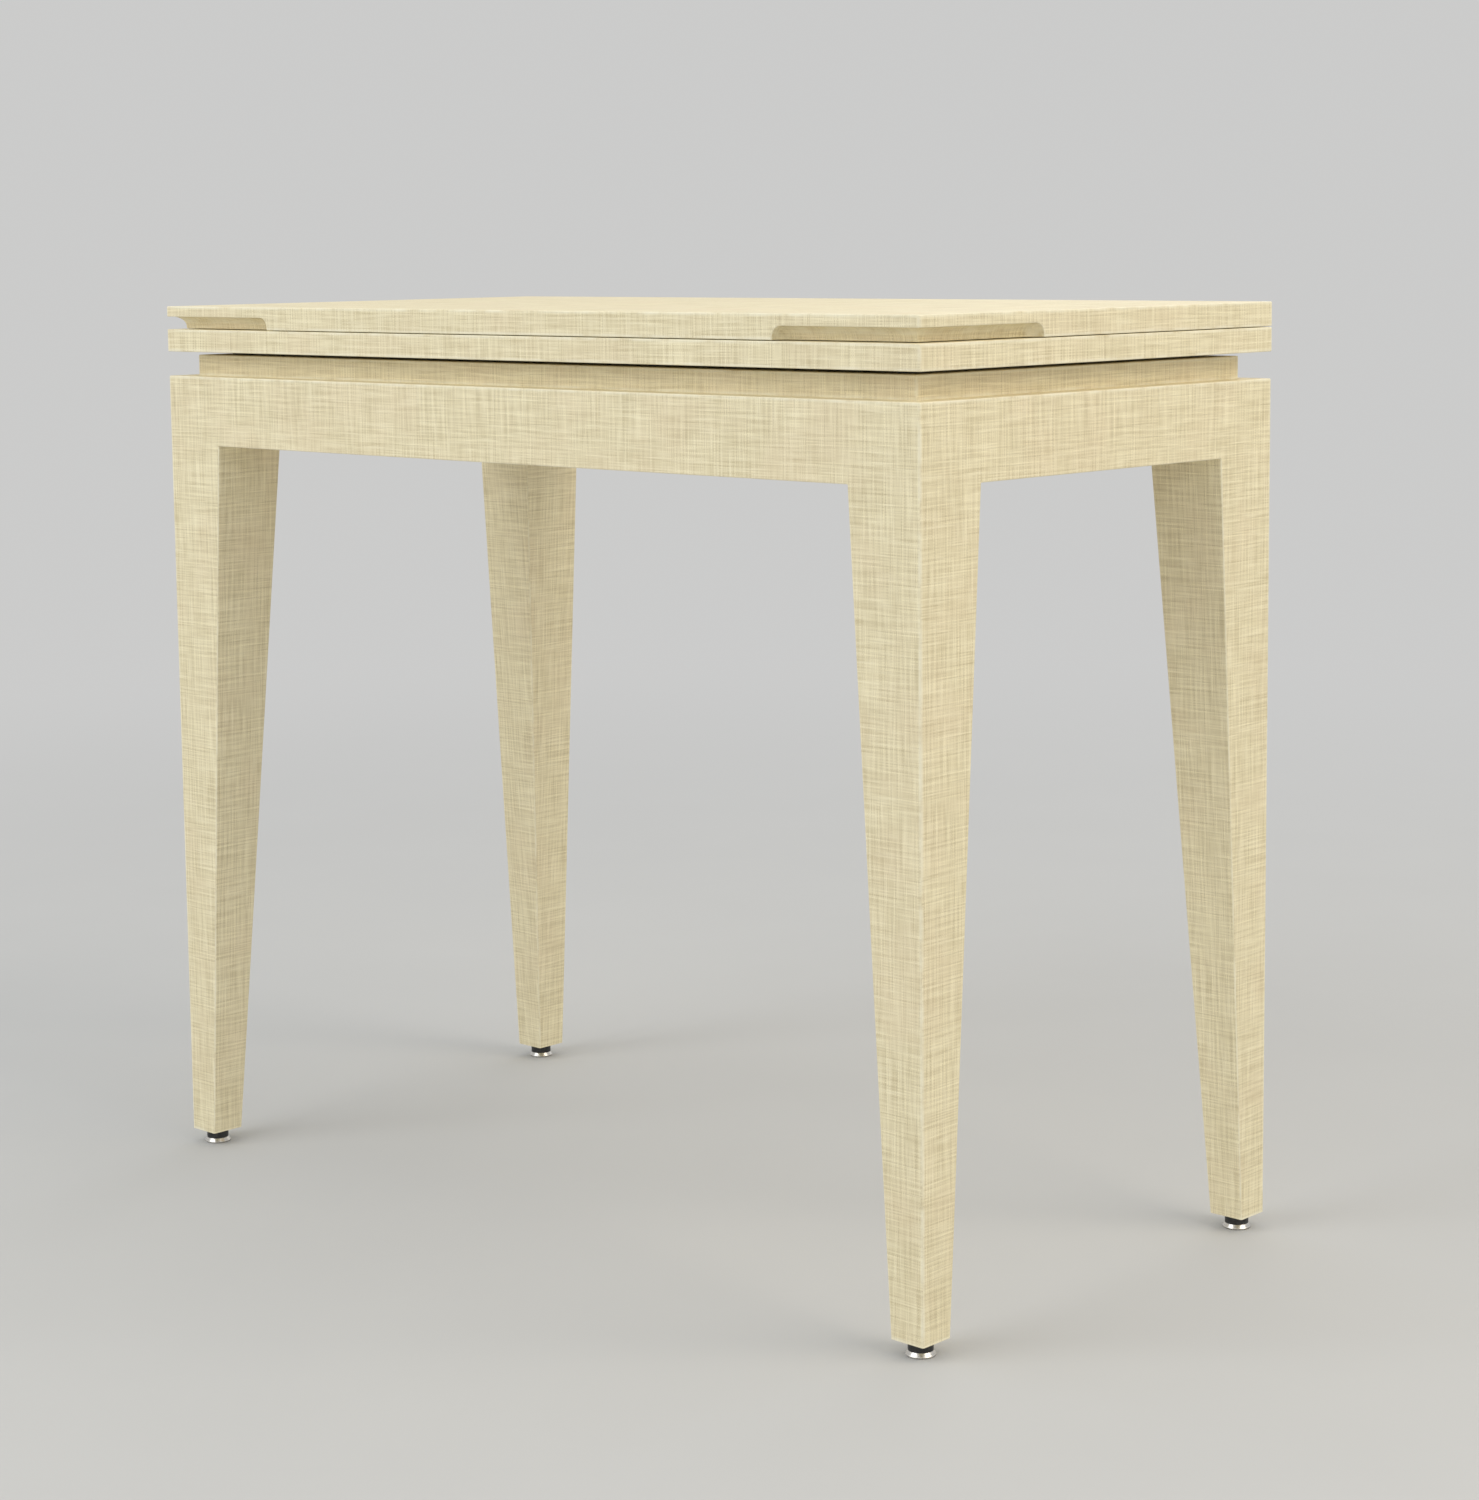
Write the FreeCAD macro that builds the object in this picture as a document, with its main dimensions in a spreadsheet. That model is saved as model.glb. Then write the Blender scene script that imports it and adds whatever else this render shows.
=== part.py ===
import FreeCAD, Part
import math
import os
import Sketcher
from FreeCAD import Placement, Rotation, Vector

# A narrow table whose two stacked leaves turn a quarter turn on the base and then unfold to a square top.
# The origin is on the floor under the middle of the folded top: X runs along the table, to the right as seen
# from the front, Y runs from front to back, and Z runs upwards. All sizes are in millimetres.

doc = FreeCAD.newDocument("FoldOverTable")
size = doc.addObject("Spreadsheet::Sheet", "Size")
at = doc.addObject("Spreadsheet::Sheet", "At")

# Sizes that can be set by themselves.
SIZES = {
    # The two equal leaves of the top, and the finger coves under the upper leaf's front corners.
    "leaf_length": 864,
    "leaf_depth": 432,
    "leaf_thickness": 19.4,
    "leaf_seam": 0.6,
    "leaf_overhang": 0.5,
    "leaf_corner": 2,
    "arris": 1,
    "cove_length": 140,
    "cove_height": 10.4,
    "cove_depth": 12.5,
    "cove_radius": 9,
    "cove_foot": 1.4,
    "lip_arris": 0.8,
    # The base: tapered legs, aprons tenoned into them, and the recessed riser panel on cleats.
    "leg_length": 620,
    "leg_top_width": 68,
    "leg_foot_width": 31,
    "leg_corner": 1.5,
    "apron_height": 60,
    "apron_thickness": 26,
    "tenon_length": 24,
    "tenon_height": 40,
    "tenon_thickness": 9,
    "joint_clearance": 0.1,
    "riser_thickness": 18,
    "riser_inset": 18.5,
    "cleat_width": 18,
    "cleat_height": 20,
    "cleat_end_gap": 4,
    "cleat_screw_end": 40,
    "cleat_screw_stagger": 36,
    # The pivot: a spindle in the lower leaf, running in a bush through the riser panel and the pivot rail.
    "pivot_rail_width": 90,
    "pivot_rail_height": 20,
    "pivot_rail_screw_end": 22,
    "pivot_rail_screw_spread": 60,
    "stud_diameter": 16,
    "stud_tail": 3,
    "stud_chamfer": 1,
    "spindle_flange_diameter": 76,
    "spindle_flange_thickness": 5,
    "spindle_screw_circle": 52,
    "bush_wall": 3,
    "bush_flange_diameter": 36,
    "bush_flange_thickness": 2,
    "running_fit": 0.05,
    "running_gap": 0.2,
    "washer_bore_clearance": 0.4,
    "thrust_washer_diameter": 66,
    "clamp_washer_diameter": 44,
    "clamp_washer_thickness": 3,
    "spring_diameter": 34,
    "spring_thickness": 1.6,
    "spring_rise": 1.2,
    "nut_width": 24,
    "nut_hex_height": 10,
    "nut_collar_diameter": 21,
    "nut_collar_height": 4,
    "pad_diameter": 24,
    "pad_thickness": 3,
    "pad_arris": 0.6,
    "pad_edge": 30,
    "pad_inner": 130,
    "stop_radius": 60,
    "stop_pin_diameter": 8,
    "stop_pin_seat": 12,
    "stop_pin_chamfer": 0.8,
    "stop_groove_depth": 8,
    "stop_clearance": 0.5,
    # The butt hinges on the back edge.
    "hinge_length": 50,
    "hinge_end": 110,
    "hinge_offset": 0.4,
    "plate_height": 15,
    "plate_thickness": 1.6,
    "knuckle_diameter": 5.2,
    "knuckle_gap": 0.2,
    "knuckle_clearance": 0.3,
    "pin_diameter": 2.6,
    "pin_clearance": 0.02,
    "mortise_clearance": 0.1,
    "plate_screw_drop": 9,
    "plate_screw_spread": 17,
    # Screws, each driven flush. The spindle's screws leave a cover of wood over their points.
    "wood_screw_shank": 4.2,
    "wood_screw_head": 8.4,
    "wood_screw_length": 34,
    "spindle_screw_shank": 4.8,
    "spindle_screw_head": 9.4,
    "spindle_screw_cover": 2.4,
    "hinge_screw_shank": 2.8,
    "hinge_screw_head": 5.4,
    "hinge_screw_length": 16,
    "slot_width": 0.9,
    "slot_depth": 0.7,
    "slot_rim": 0.9,
    "drill_clearance": 0.05,
    # The levelling feet, screwed into inserts in the ends of the legs.
    "foot_height": 12,
    "foot_base_diameter": 23,
    "foot_base_thickness": 4,
    "foot_base_edge": 1.2,
    "foot_socket_floor": 1.5,
    "collar_diameter": 19,
    "collar_height": 6,
    "collar_arris": 0.8,
    "stem_diameter": 8,
    "stem_length": 28,
    "stem_chamfer": 1,
    "stem_room": 3,
    "insert_diameter": 11,
    "insert_length": 22,
    "insert_flange_diameter": 18,
    "insert_flange_thickness": 1.2,
}

# Levels and places that follow from those sizes.
PLACES = {
    "half_length": "=Size.leaf_length / 2",
    "half_depth": "=Size.leaf_depth / 2",
    "frame_half_length": "=half_length - Size.leaf_overhang",
    "frame_half_depth": "=half_depth - Size.leaf_overhang",
    "leg_bottom": "=Size.foot_height",
    "apron_bottom": "=leg_bottom + Size.leg_length",
    "frame_top": "=apron_bottom + Size.apron_height",
    "riser_top": "=frame_top + Size.riser_thickness",
    "lower_bottom": "=riser_top + Size.pad_thickness + Size.running_gap",
    "lower_top": "=lower_bottom + Size.leaf_thickness",
    "hinge_height": "=lower_top + Size.leaf_seam / 2",
    "upper_bottom": "=lower_top + Size.leaf_seam",
    "hinge_line": "=half_depth + Size.hinge_offset",
    "hinge_side": "=half_length - Size.hinge_end",
    "pivot": "=hinge_line / 2",
    "riser_half_length": "=frame_half_length - Size.riser_inset",
    "riser_half_depth": "=frame_half_depth - Size.riser_inset",
    "cleat_level": "=frame_top - Size.cleat_height",
    "rail_half_depth": "=frame_half_depth - Size.apron_thickness - Size.cleat_width",
    "rail_bottom": "=frame_top - Size.pivot_rail_height",
    "clamp_top": "=rail_bottom - Size.running_gap",
    "spring_top": "=clamp_top - Size.clamp_washer_thickness",
    "nut_top": "=spring_top - Size.spring_thickness - Size.spring_rise",
    "nut_bottom": "=nut_top - Size.nut_hex_height - Size.nut_collar_height",
    "stud_length": "=lower_bottom - nut_bottom + Size.stud_tail",
    "bush_bore_radius": "=Size.stud_diameter / 2 + Size.running_fit",
    "bush_radius": "=bush_bore_radius + Size.bush_wall",
    "washer_bore": "=Size.stud_diameter + 2 * Size.washer_bore_clearance",
    "spindle_screw_length": "=Size.leaf_thickness - Size.spindle_screw_cover",
    "stop_groove_width": "=Size.stop_pin_diameter + 2 * Size.stop_clearance",
    "knuckle_radius": "=Size.knuckle_diameter / 2",
    "knuckle_room": "=knuckle_radius + Size.knuckle_clearance",
    "collar_top": "=Size.foot_base_thickness + Size.collar_height",
    "stem_top": "=Size.foot_height + Size.stem_length",
    "stem_seat_radius": "=Size.stem_diameter / 2 + Size.running_fit",
}


def fill(sheet, cells):
    """Write one row for each named cell: its name, then its content under that name as alias."""
    for row, (name, content) in enumerate(cells.items(), start=1):
        sheet.set(f"A{row}", name)
        sheet.set(f"B{row}", str(content))
        sheet.setAlias(f"B{row}", name)
    doc.recompute()


fill(size, SIZES)
fill(at, PLACES)

# A cut starts this far outside the face that it opens, so that no thin skin is left.
BREAKOUT = "1"

# Edges nearer than this to a level count as lying on it.
SAME_LEVEL = 1e-4

# Pieces that make up the table, by name.
pieces = {}


def number(expression):
    """The value that an expression over the two sheets has now."""
    return float(at.evalExpression(expression))


def keep(piece, label):
    """Enter a finished piece under the name that its file gets."""
    piece.Label = label
    pieces[label] = piece
    return piece


def place(piece, x="0", y="0", z="0", turn=None):
    """Set a piece's turn, and tie its place to three expressions."""
    piece.Placement = Placement(Vector(), turn or Rotation())
    for axis, expression in zip("xyz", (x, y, z)):
        piece.setExpression(f"Placement.Base.{axis}", expression)
    return piece


def about_z(degrees):
    """A turn about the vertical."""
    return Rotation(Vector(0, 0, 1), degrees)


def pointing(direction):
    """The turn that sends a screw's point, which looks down in its own frame, in a direction."""
    return Rotation(Vector(0, 0, -1), direction)


def new_body(name):
    return doc.addObject("PartDesign::Body", name)


def new_sketch(body, plane, level="0"):
    """An empty sketch on an origin plane of the body, moved along that plane's normal to a level."""
    support = next(part for part in body.Origin.OriginFeatures if part.Role == plane)
    sketch = body.newObject("Sketcher::SketchObject", "Sketch")
    sketch.AttachmentSupport = [(support, "")]
    sketch.MapMode = "FlatFace"
    sketch.setExpression("AttachmentOffset.Base.z", level)
    return sketch


def constrain(sketch, expression, kind, *geometry):
    """Add a constraint whose value is an expression."""
    index = sketch.addConstraint(Sketcher.Constraint(kind, *geometry, number(expression)))
    sketch.setExpression(f"Constraints[{index}]", expression)


def short_arc(start, end, radius):
    """The arc, under a half circle, that runs anticlockwise between two points."""
    chord = end - start
    middle = (start + end) / 2
    left = Vector(-chord.y, chord.x, 0).normalize()
    centre = middle + left * math.sqrt(max(radius**2 - chord.Length**2 / 4, 0))
    angles = [math.atan2(point.y - centre.y, point.x - centre.x) for point in (start, end)]
    return Part.ArcOfCircle(Part.Circle(centre, Vector(0, 0, 1), radius), *angles)


def draw_outline(sketch, corners, arcs=None):
    """Draw a closed outline, anticlockwise, through corners that are pairs of expressions.

    arcs gives the radius of each side that is an arc, by the number of the corner where the side starts.
    """
    arcs = arcs or {}
    points = [Vector(number(x), number(y), 0) for x, y in corners]
    first = sketch.GeometryCount
    for side, start in enumerate(points):
        end = points[(side + 1) % len(points)]
        if side in arcs:
            sketch.addGeometry(short_arc(start, end, number(arcs[side])))
        else:
            sketch.addGeometry(Part.LineSegment(start, end))
    for side, (x, y) in enumerate(corners):
        line = first + side
        following = first + (side + 1) % len(corners)
        sketch.addConstraint(Sketcher.Constraint("Coincident", line, 2, following, 1))
        constrain(sketch, x, "DistanceX", -1, 1, line, 1)
        constrain(sketch, y, "DistanceY", -1, 1, line, 1)
        if side in arcs:
            constrain(sketch, arcs[side], "Radius", line)
    return sketch


def draw_rectangle(sketch, left, low, right, high):
    return draw_outline(sketch, [(left, low), (right, low), (right, high), (left, high)])


def draw_rounded(sketch, left, low, right, high, radius):
    """Draw a rectangle whose four corners are rounded."""
    corners = [
        (f"{left} + {radius}", low),
        (f"{right} - {radius}", low),
        (right, f"{low} + {radius}"),
        (right, f"{high} - {radius}"),
        (f"{right} - {radius}", high),
        (f"{left} + {radius}", high),
        (left, f"{high} - {radius}"),
        (left, f"{low} + {radius}"),
    ]
    return draw_outline(sketch, corners, {side: radius for side in (1, 3, 5, 7)})


def draw_circle(sketch, x, y, diameter):
    centre = Vector(number(x), number(y), 0)
    circle = sketch.addGeometry(Part.Circle(centre, Vector(0, 0, 1), number(diameter) / 2))
    constrain(sketch, diameter, "Diameter", circle)
    constrain(sketch, x, "DistanceX", -1, 1, circle, 3)
    constrain(sketch, y, "DistanceY", -1, 1, circle, 3)
    return sketch


def add_pad(body, sketch, length):
    """Raise a sketch along its plane's normal."""
    feature = body.newObject("PartDesign::Pad", "Pad")
    feature.Profile = sketch
    feature.Refine = True
    feature.setExpression("Length", length)
    doc.recompute()
    return feature


def add_cut(body, kind, sketch, **settings):
    """Cut a sketch out of the body as a Pocket or a Groove, and make sure that it does cut."""
    before = body.Shape.Volume
    feature = body.newObject(f"PartDesign::{kind}", kind)
    feature.Profile = sketch
    feature.Refine = True
    for name, setting in settings.items():
        if name in ("Length", "Angle"):
            feature.setExpression(name, setting)
        else:
            setattr(feature, name, setting)
    doc.recompute()
    if not body.Shape.Volume < before:
        raise RuntimeError(f"{body.Label}: {feature.Label} cuts nothing")
    return feature


def add_fillet(body, radius, chosen):
    """Round the edges of the body so far that a test chooses."""
    base = body.Tip
    names = [f"Edge{index}" for index, edge in enumerate(base.Shape.Edges, start=1) if chosen(edge)]
    feature = body.newObject("PartDesign::Fillet", "Fillet")
    feature.Base = (base, names)
    feature.Refine = True
    feature.setExpression("Radius", radius)
    doc.recompute()
    return feature


def turned_body(name, corners, arcs=None):
    """A body of revolution about its own Z axis, from an outline of (radius, height) expressions."""
    body = new_body(name)
    sketch = draw_outline(new_sketch(body, "XZ_Plane"), corners, arcs)
    feature = body.newObject("PartDesign::Revolution", "Revolution")
    feature.Profile = sketch
    feature.ReferenceAxis = (sketch, ["V_Axis"])
    feature.setExpression("Angle", "360")
    doc.recompute()
    return body


def ring(name, bore, diameter, thickness):
    """A flat washer whose top face is at its origin."""
    body = new_body(name)
    sketch = draw_circle(new_sketch(body, "XY_Plane", f"-({thickness})"), "0", "0", diameter)
    draw_circle(sketch, "0", "0", bore)
    add_pad(body, sketch, thickness)
    return body


def on_level(edge, axis, *levels):
    """Whether an edge lies wholly at one of some levels of an axis."""
    box = edge.BoundBox
    low, high = {"x": (box.XMin, box.XMax), "y": (box.YMin, box.YMax), "z": (box.ZMin, box.ZMax)}[axis]
    return any(max(abs(low - level), abs(high - level)) < SAME_LEVEL for level in levels)


def group(label, links):
    """Gather solids that stay separate into one object."""
    gathered = doc.addObject("Part::Compound", label)
    gathered.Links = links
    doc.recompute()
    return gathered


def copies(master, spots):
    """Links to one solid, each with its own place and turn."""
    links = []
    for x, y, z, turn in spots:
        link = doc.addObject("App::Link", f"{master.Label}_copy")
        link.LinkedObject = master
        links.append(place(link, x, y, z, turn))
    return links


def drilled(blank, holes, label):
    """A piece with its holes cut through the blank, in turn."""
    for hole in holes:
        cut = doc.addObject("Part::Cut", f"{label}_drilled")
        cut.Base = blank
        cut.Tool = hole
        cut.Refine = True
        doc.recompute()
        if not cut.Shape.Volume < blank.Shape.Volume:
            raise RuntimeError(f"{label}: {hole.Label} cuts nothing")
        blank = cut
    return keep(blank, label)


# Screws. Each has a countersunk head, flush with what it holds, a plain shank and a point as long as the
# shank is wide. Its hole is the same shape, larger by the drill clearance and open above the head.


def make_screw(name, length, slots):
    """A screw that points down from the middle of its head, with one driving slot or a cross of two."""
    shank = f"Size.{name}_shank / 2"
    head = f"Size.{name}_head / 2"
    neck = f"{shank} - {head}"
    screw = turned_body(
        name,
        [("0", f"-{length}"), (shank, f"2 * {shank} - {length}"), (shank, neck), (head, "0"), ("0", "0")],
    )
    half_slot = "Size.slot_width / 2"
    reach = f"{head} - Size.slot_rim"
    for turned in range(slots):
        across, along = (half_slot, reach) if turned else (reach, half_slot)
        sketch = new_sketch(screw, "XY_Plane")
        draw_rectangle(sketch, f"-({across})", f"-({along})", across, along)
        add_cut(screw, "Pocket", sketch, Length="Size.slot_depth")
    return screw


def make_drill(name, length):
    """The hole for a screw."""
    shank = f"Size.{name}_shank / 2 + Size.drill_clearance"
    head = f"Size.{name}_head / 2 + Size.drill_clearance"
    neck = f"(Size.{name}_shank - Size.{name}_head) / 2"
    tip = f"Size.{name}_shank - {length}"
    bottom = f"-{length} - Size.drill_clearance"
    corners = [("0", bottom), (shank, tip), (shank, neck), (head, "0"), (head, BREAKOUT), ("0", BREAKOUT)]
    return turned_body(f"{name}_hole", corners)


wood_screw = make_screw("wood_screw", "Size.wood_screw_length", 2)
wood_drill = make_drill("wood_screw", "Size.wood_screw_length")
spindle_screw = make_screw("spindle_screw", "At.spindle_screw_length", 2)
spindle_drill = make_drill("spindle_screw", "At.spindle_screw_length")
hinge_screw = make_screw("hinge_screw", "Size.hinge_screw_length", 1)
hinge_drill = make_drill("hinge_screw", "Size.hinge_screw_length")

UP = pointing(Vector(0, 0, 1))
INTO_BACK_EDGE = pointing(Vector(0, -1, 0))

# Corners and sides of the base. Each leg and each apron is drawn once, seen from outside, in a frame of its
# own and turned by quarter turns into its place: X along the side, Y inwards, Z upwards.
CORNERS = {
    "front_left": (-1, -1, 0),
    "front_right": (1, -1, 90),
    "back_right": (1, 1, 180),
    "back_left": (-1, 1, 270),
}
SIDES = {
    "front": (0, -1, 0),
    "right": (1, 0, 90),
    "back": (0, 1, 180),
    "left": (-1, 0, 270),
}


def side_half_length(side):
    """Half the length of an apron between its two legs."""
    along = "length" if side in ("front", "back") else "depth"
    return f"At.frame_half_{along} - Size.leg_top_width"


def side_spot(side, along, inwards):
    """The place in the table's frame of a point given along a side and inwards from its outer face."""
    x_sign, y_sign, degrees = SIDES[side]
    cosine = round(math.cos(math.radians(degrees)))
    sine = round(math.sin(math.radians(degrees)))
    x = f"{x_sign} * At.frame_half_length + {cosine} * ({along}) - {sine} * ({inwards})"
    y = f"{y_sign} * At.frame_half_depth + {sine} * ({along}) + {cosine} * ({inwards})"
    return x, y


# Cleat screws go outwards through each cleat into its apron, and riser screws go up through it into the
# riser panel, staggered so that they pass each other.


def screw_rows(side, shift):
    """Places along a cleat: near both ends, and on a long cleat one more near the middle."""
    end = f"{side_half_length(side)} - Size.cleat_end_gap - Size.cleat_screw_end - {shift}"
    middle = [f"{shift}"] if side in ("front", "back") else []
    return [f"-({end})", *middle, end]


cleat_screw_spots = []
riser_screw_spots = []
for side, (x_sign, y_sign, _) in SIDES.items():
    outwards = pointing(Vector(x_sign, y_sign, 0))
    for along in screw_rows(side, "0"):
        x, y = side_spot(side, along, "Size.apron_thickness + Size.cleat_width")
        cleat_screw_spots.append((x, y, "At.frame_top - Size.cleat_height / 2", outwards))
    for along in screw_rows(side, "Size.cleat_screw_stagger"):
        x, y = side_spot(side, along, "Size.apron_thickness + Size.cleat_width / 2")
        riser_screw_spots.append((x, y, "At.cleat_level", UP))

keep(group("cleat_screws", copies(wood_screw, cleat_screw_spots)), "cleat_screws")
keep(group("riser_screws", copies(wood_screw, riser_screw_spots)), "riser_screws")
cleat_holes = group("cleat_screw_holes", copies(wood_drill, cleat_screw_spots))
riser_holes = group("riser_screw_holes", copies(wood_drill, riser_screw_spots))

# Legs. The square post behind the aprons goes down into a taper on the two inner faces only, so that both
# outer faces stay upright. Two mortises take the aprons' tenons, and the foot's insert is let into the end.
TENON_LEVEL = "(Size.apron_height - Size.tenon_height) / 2"
TENON_INSET = "(Size.apron_thickness - Size.tenon_thickness) / 2"


def make_leg(label):
    body = new_body(label)
    foot = new_sketch(body, "XY_Plane")
    draw_rounded(foot, "0", "0", "Size.leg_foot_width", "Size.leg_foot_width", "Size.leg_corner")
    knee = new_sketch(body, "XY_Plane", "Size.leg_length")
    draw_rounded(knee, "0", "0", "Size.leg_top_width", "Size.leg_top_width", "Size.leg_corner")
    taper = body.newObject("PartDesign::AdditiveLoft", "Taper")
    taper.Profile = foot
    taper.Sections = [knee]
    taper.Ruled = True
    doc.recompute()

    post = new_sketch(body, "XY_Plane", "Size.leg_length")
    corners = [
        ("Size.leg_corner", "0"),
        ("Size.leg_top_width", "0"),
        ("Size.leg_top_width", "Size.leg_top_width"),
        ("0", "Size.leg_top_width"),
        ("0", "Size.leg_corner"),
    ]
    add_pad(body, draw_outline(post, corners, {4: "Size.leg_corner"}), "Size.apron_height")
    top = number("Size.leg_length + Size.apron_height")
    width = number("Size.leg_top_width")

    def outer_top_edge(edge):
        return on_level(edge, "z", top) and not on_level(edge, "x", width) and not on_level(edge, "y", width)

    add_fillet(body, "Size.arris", outer_top_edge)

    low = f"Size.leg_length + {TENON_LEVEL} - Size.joint_clearance"
    high = f"Size.leg_length + {TENON_LEVEL} + Size.tenon_height + Size.joint_clearance"
    near = f"{TENON_INSET} - Size.joint_clearance"
    far = f"{TENON_INSET} + Size.tenon_thickness + Size.joint_clearance"
    depth = "Size.tenon_length + Size.joint_clearance"
    along_x = draw_rectangle(new_sketch(body, "YZ_Plane", "Size.leg_top_width"), near, low, far, high)
    add_cut(body, "Pocket", along_x, Length=depth)
    along_y = draw_rectangle(new_sketch(body, "XZ_Plane", "-Size.leg_top_width"), near, low, far, high)
    add_cut(body, "Pocket", along_y, Length=depth, Reversed=True)

    middle = "Size.leg_foot_width / 2"
    insert_steps = [
        ("Size.stem_diameter + 2 * Size.washer_bore_clearance", "Size.stem_length + Size.stem_room"),
        ("Size.insert_diameter + 2 * Size.drill_clearance", "Size.insert_length"),
        ("Size.insert_flange_diameter + 2 * Size.drill_clearance", "Size.insert_flange_thickness"),
    ]
    for diameter, step_depth in insert_steps:
        step = draw_circle(new_sketch(body, "XY_Plane"), middle, middle, diameter)
        add_cut(body, "Pocket", step, Length=step_depth, Reversed=True)
    return keep(body, label)


for corner, (x_sign, y_sign, degrees) in CORNERS.items():
    place(
        make_leg(f"{corner}_leg"),
        f"{x_sign} * At.frame_half_length",
        f"{y_sign} * At.frame_half_depth",
        "At.leg_bottom",
        about_z(degrees),
    )

# Aprons. Each is flush with the legs' outer faces and runs into them with a tenon at both ends.


def make_apron(side):
    body = new_body(f"{side}_apron_blank")
    half = side_half_length(side)
    blank = draw_rectangle(new_sketch(body, "XY_Plane"), f"-({half})", "0", half, "Size.apron_thickness")
    add_pad(body, blank, "Size.apron_height")
    top = number("Size.apron_height")
    add_fillet(body, "Size.arris", lambda edge: on_level(edge, "y", 0) and on_level(edge, "z", 0, top))
    reach = f"{half} + Size.tenon_length"
    tenons = new_sketch(body, "XY_Plane", TENON_LEVEL)
    draw_rectangle(tenons, f"-({reach})", TENON_INSET, reach, f"{TENON_INSET} + Size.tenon_thickness")
    add_pad(body, tenons, "Size.tenon_height")
    return body


# Cleats. A square batten along the inside of each apron, flush with its top, carries the riser panel.


def make_cleat(side):
    box = doc.addObject("Part::Box", f"{side}_cleat_blank")
    box.setExpression("Length", f"2 * ({side_half_length(side)} - Size.cleat_end_gap)")
    box.setExpression("Width", "Size.cleat_width")
    box.setExpression("Height", "Size.cleat_height")
    return box


for side, (_, _, degrees) in SIDES.items():
    x, y = side_spot(side, "0", "0")
    blank = place(make_apron(side), x, y, "At.apron_bottom", about_z(degrees))
    drilled(blank, [cleat_holes], f"{side}_apron")
    x, y = side_spot(side, f"-({side_half_length(side)} - Size.cleat_end_gap)", "Size.apron_thickness")
    blank = place(make_cleat(side), x, y, "At.cleat_level", about_z(degrees))
    drilled(blank, [cleat_holes, riser_holes], f"{side}_cleat")

# Pivot rail. It stiffens the riser panel under the pivot, between the long cleats, and is screwed up to it.
pivot_rail_blank = doc.addObject("Part::Box", "pivot_rail_blank")
pivot_rail_blank.setExpression("Length", "Size.pivot_rail_width")
pivot_rail_blank.setExpression("Width", "2 * At.rail_half_depth")
pivot_rail_blank.setExpression("Height", "Size.pivot_rail_height")
place(pivot_rail_blank, "At.pivot - Size.pivot_rail_width / 2", "-At.rail_half_depth", "At.rail_bottom")

pivot_rail_screw_row = "(At.rail_half_depth - Size.pivot_rail_screw_end)"
pivot_rail_screw_spots = [
    (
        f"At.pivot + {x_sign} * Size.pivot_rail_screw_spread / 2",
        f"{row} * {pivot_rail_screw_row}",
        "At.rail_bottom",
        UP,
    )
    for x_sign in (-1, 1)
    for row in (-1, 0, 1)
]
keep(group("pivot_rail_screws", copies(wood_screw, pivot_rail_screw_spots)), "pivot_rail_screws")
pivot_rail_holes = group("pivot_rail_screw_holes", copies(wood_drill, pivot_rail_screw_spots))

bush_hole = doc.addObject("Part::Cylinder", "bush_hole")
bush_hole.setExpression("Radius", "At.bush_radius + Size.drill_clearance")
bush_hole.setExpression("Height", f"Size.pivot_rail_height + Size.riser_thickness + 2 * {BREAKOUT}")
place(bush_hole, "At.pivot", "At.pivot", f"At.rail_bottom - {BREAKOUT}")
drilled(pivot_rail_blank, [bush_hole, pivot_rail_holes], "pivot_rail")

# Riser panel. The recessed neck between base and top. Its top has the seat of the bush's flange and a groove
# of a quarter circle round the pivot, whose two ends stop the pin under the lower leaf.
riser = new_body("riser_panel_blank")
riser_outline = new_sketch(riser, "XY_Plane")
draw_rounded(
    riser_outline,
    "-At.riser_half_length",
    "-At.riser_half_depth",
    "At.riser_half_length",
    "At.riser_half_depth",
    "Size.leg_corner",
)
add_pad(riser, riser_outline, "Size.riser_thickness")
riser_top = number("Size.riser_thickness")
add_fillet(riser, "Size.arris", lambda edge: on_level(edge, "z", riser_top))
flange_seat = new_sketch(riser, "XY_Plane", "Size.riser_thickness")
draw_circle(flange_seat, "At.pivot", "At.pivot", "Size.bush_flange_diameter + 2 * Size.drill_clearance")
add_cut(riser, "Pocket", flange_seat, Length="Size.bush_flange_thickness")

groove = new_sketch(riser, "XZ_Plane", "-At.pivot")
draw_rectangle(
    groove,
    "At.pivot - Size.stop_radius - At.stop_groove_width / 2",
    "Size.riser_thickness - Size.stop_groove_depth",
    "At.pivot - Size.stop_radius + At.stop_groove_width / 2",
    f"Size.riser_thickness + {BREAKOUT}",
)
pivot_x = number("At.pivot")
pivot_line = groove.addGeometry(Part.LineSegment(Vector(pivot_x, 0, 0), Vector(pivot_x, riser_top, 0)), True)
for end in (1, 2):
    constrain(groove, "At.pivot", "DistanceX", -1, 1, pivot_line, end)
add_cut(riser, "Groove", groove, ReferenceAxis=(groove, ["Axis0"]), Angle="90")
groove_ends = new_sketch(riser, "XY_Plane", "Size.riser_thickness")
draw_circle(groove_ends, "At.pivot - Size.stop_radius", "At.pivot", "At.stop_groove_width")
draw_circle(groove_ends, "At.pivot", "At.pivot - Size.stop_radius", "At.stop_groove_width")
add_cut(riser, "Pocket", groove_ends, Length="Size.stop_groove_depth")
place(riser, z="At.frame_top")
drilled(riser, [bush_hole, pivot_rail_holes, riser_holes], "riser_panel")

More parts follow.
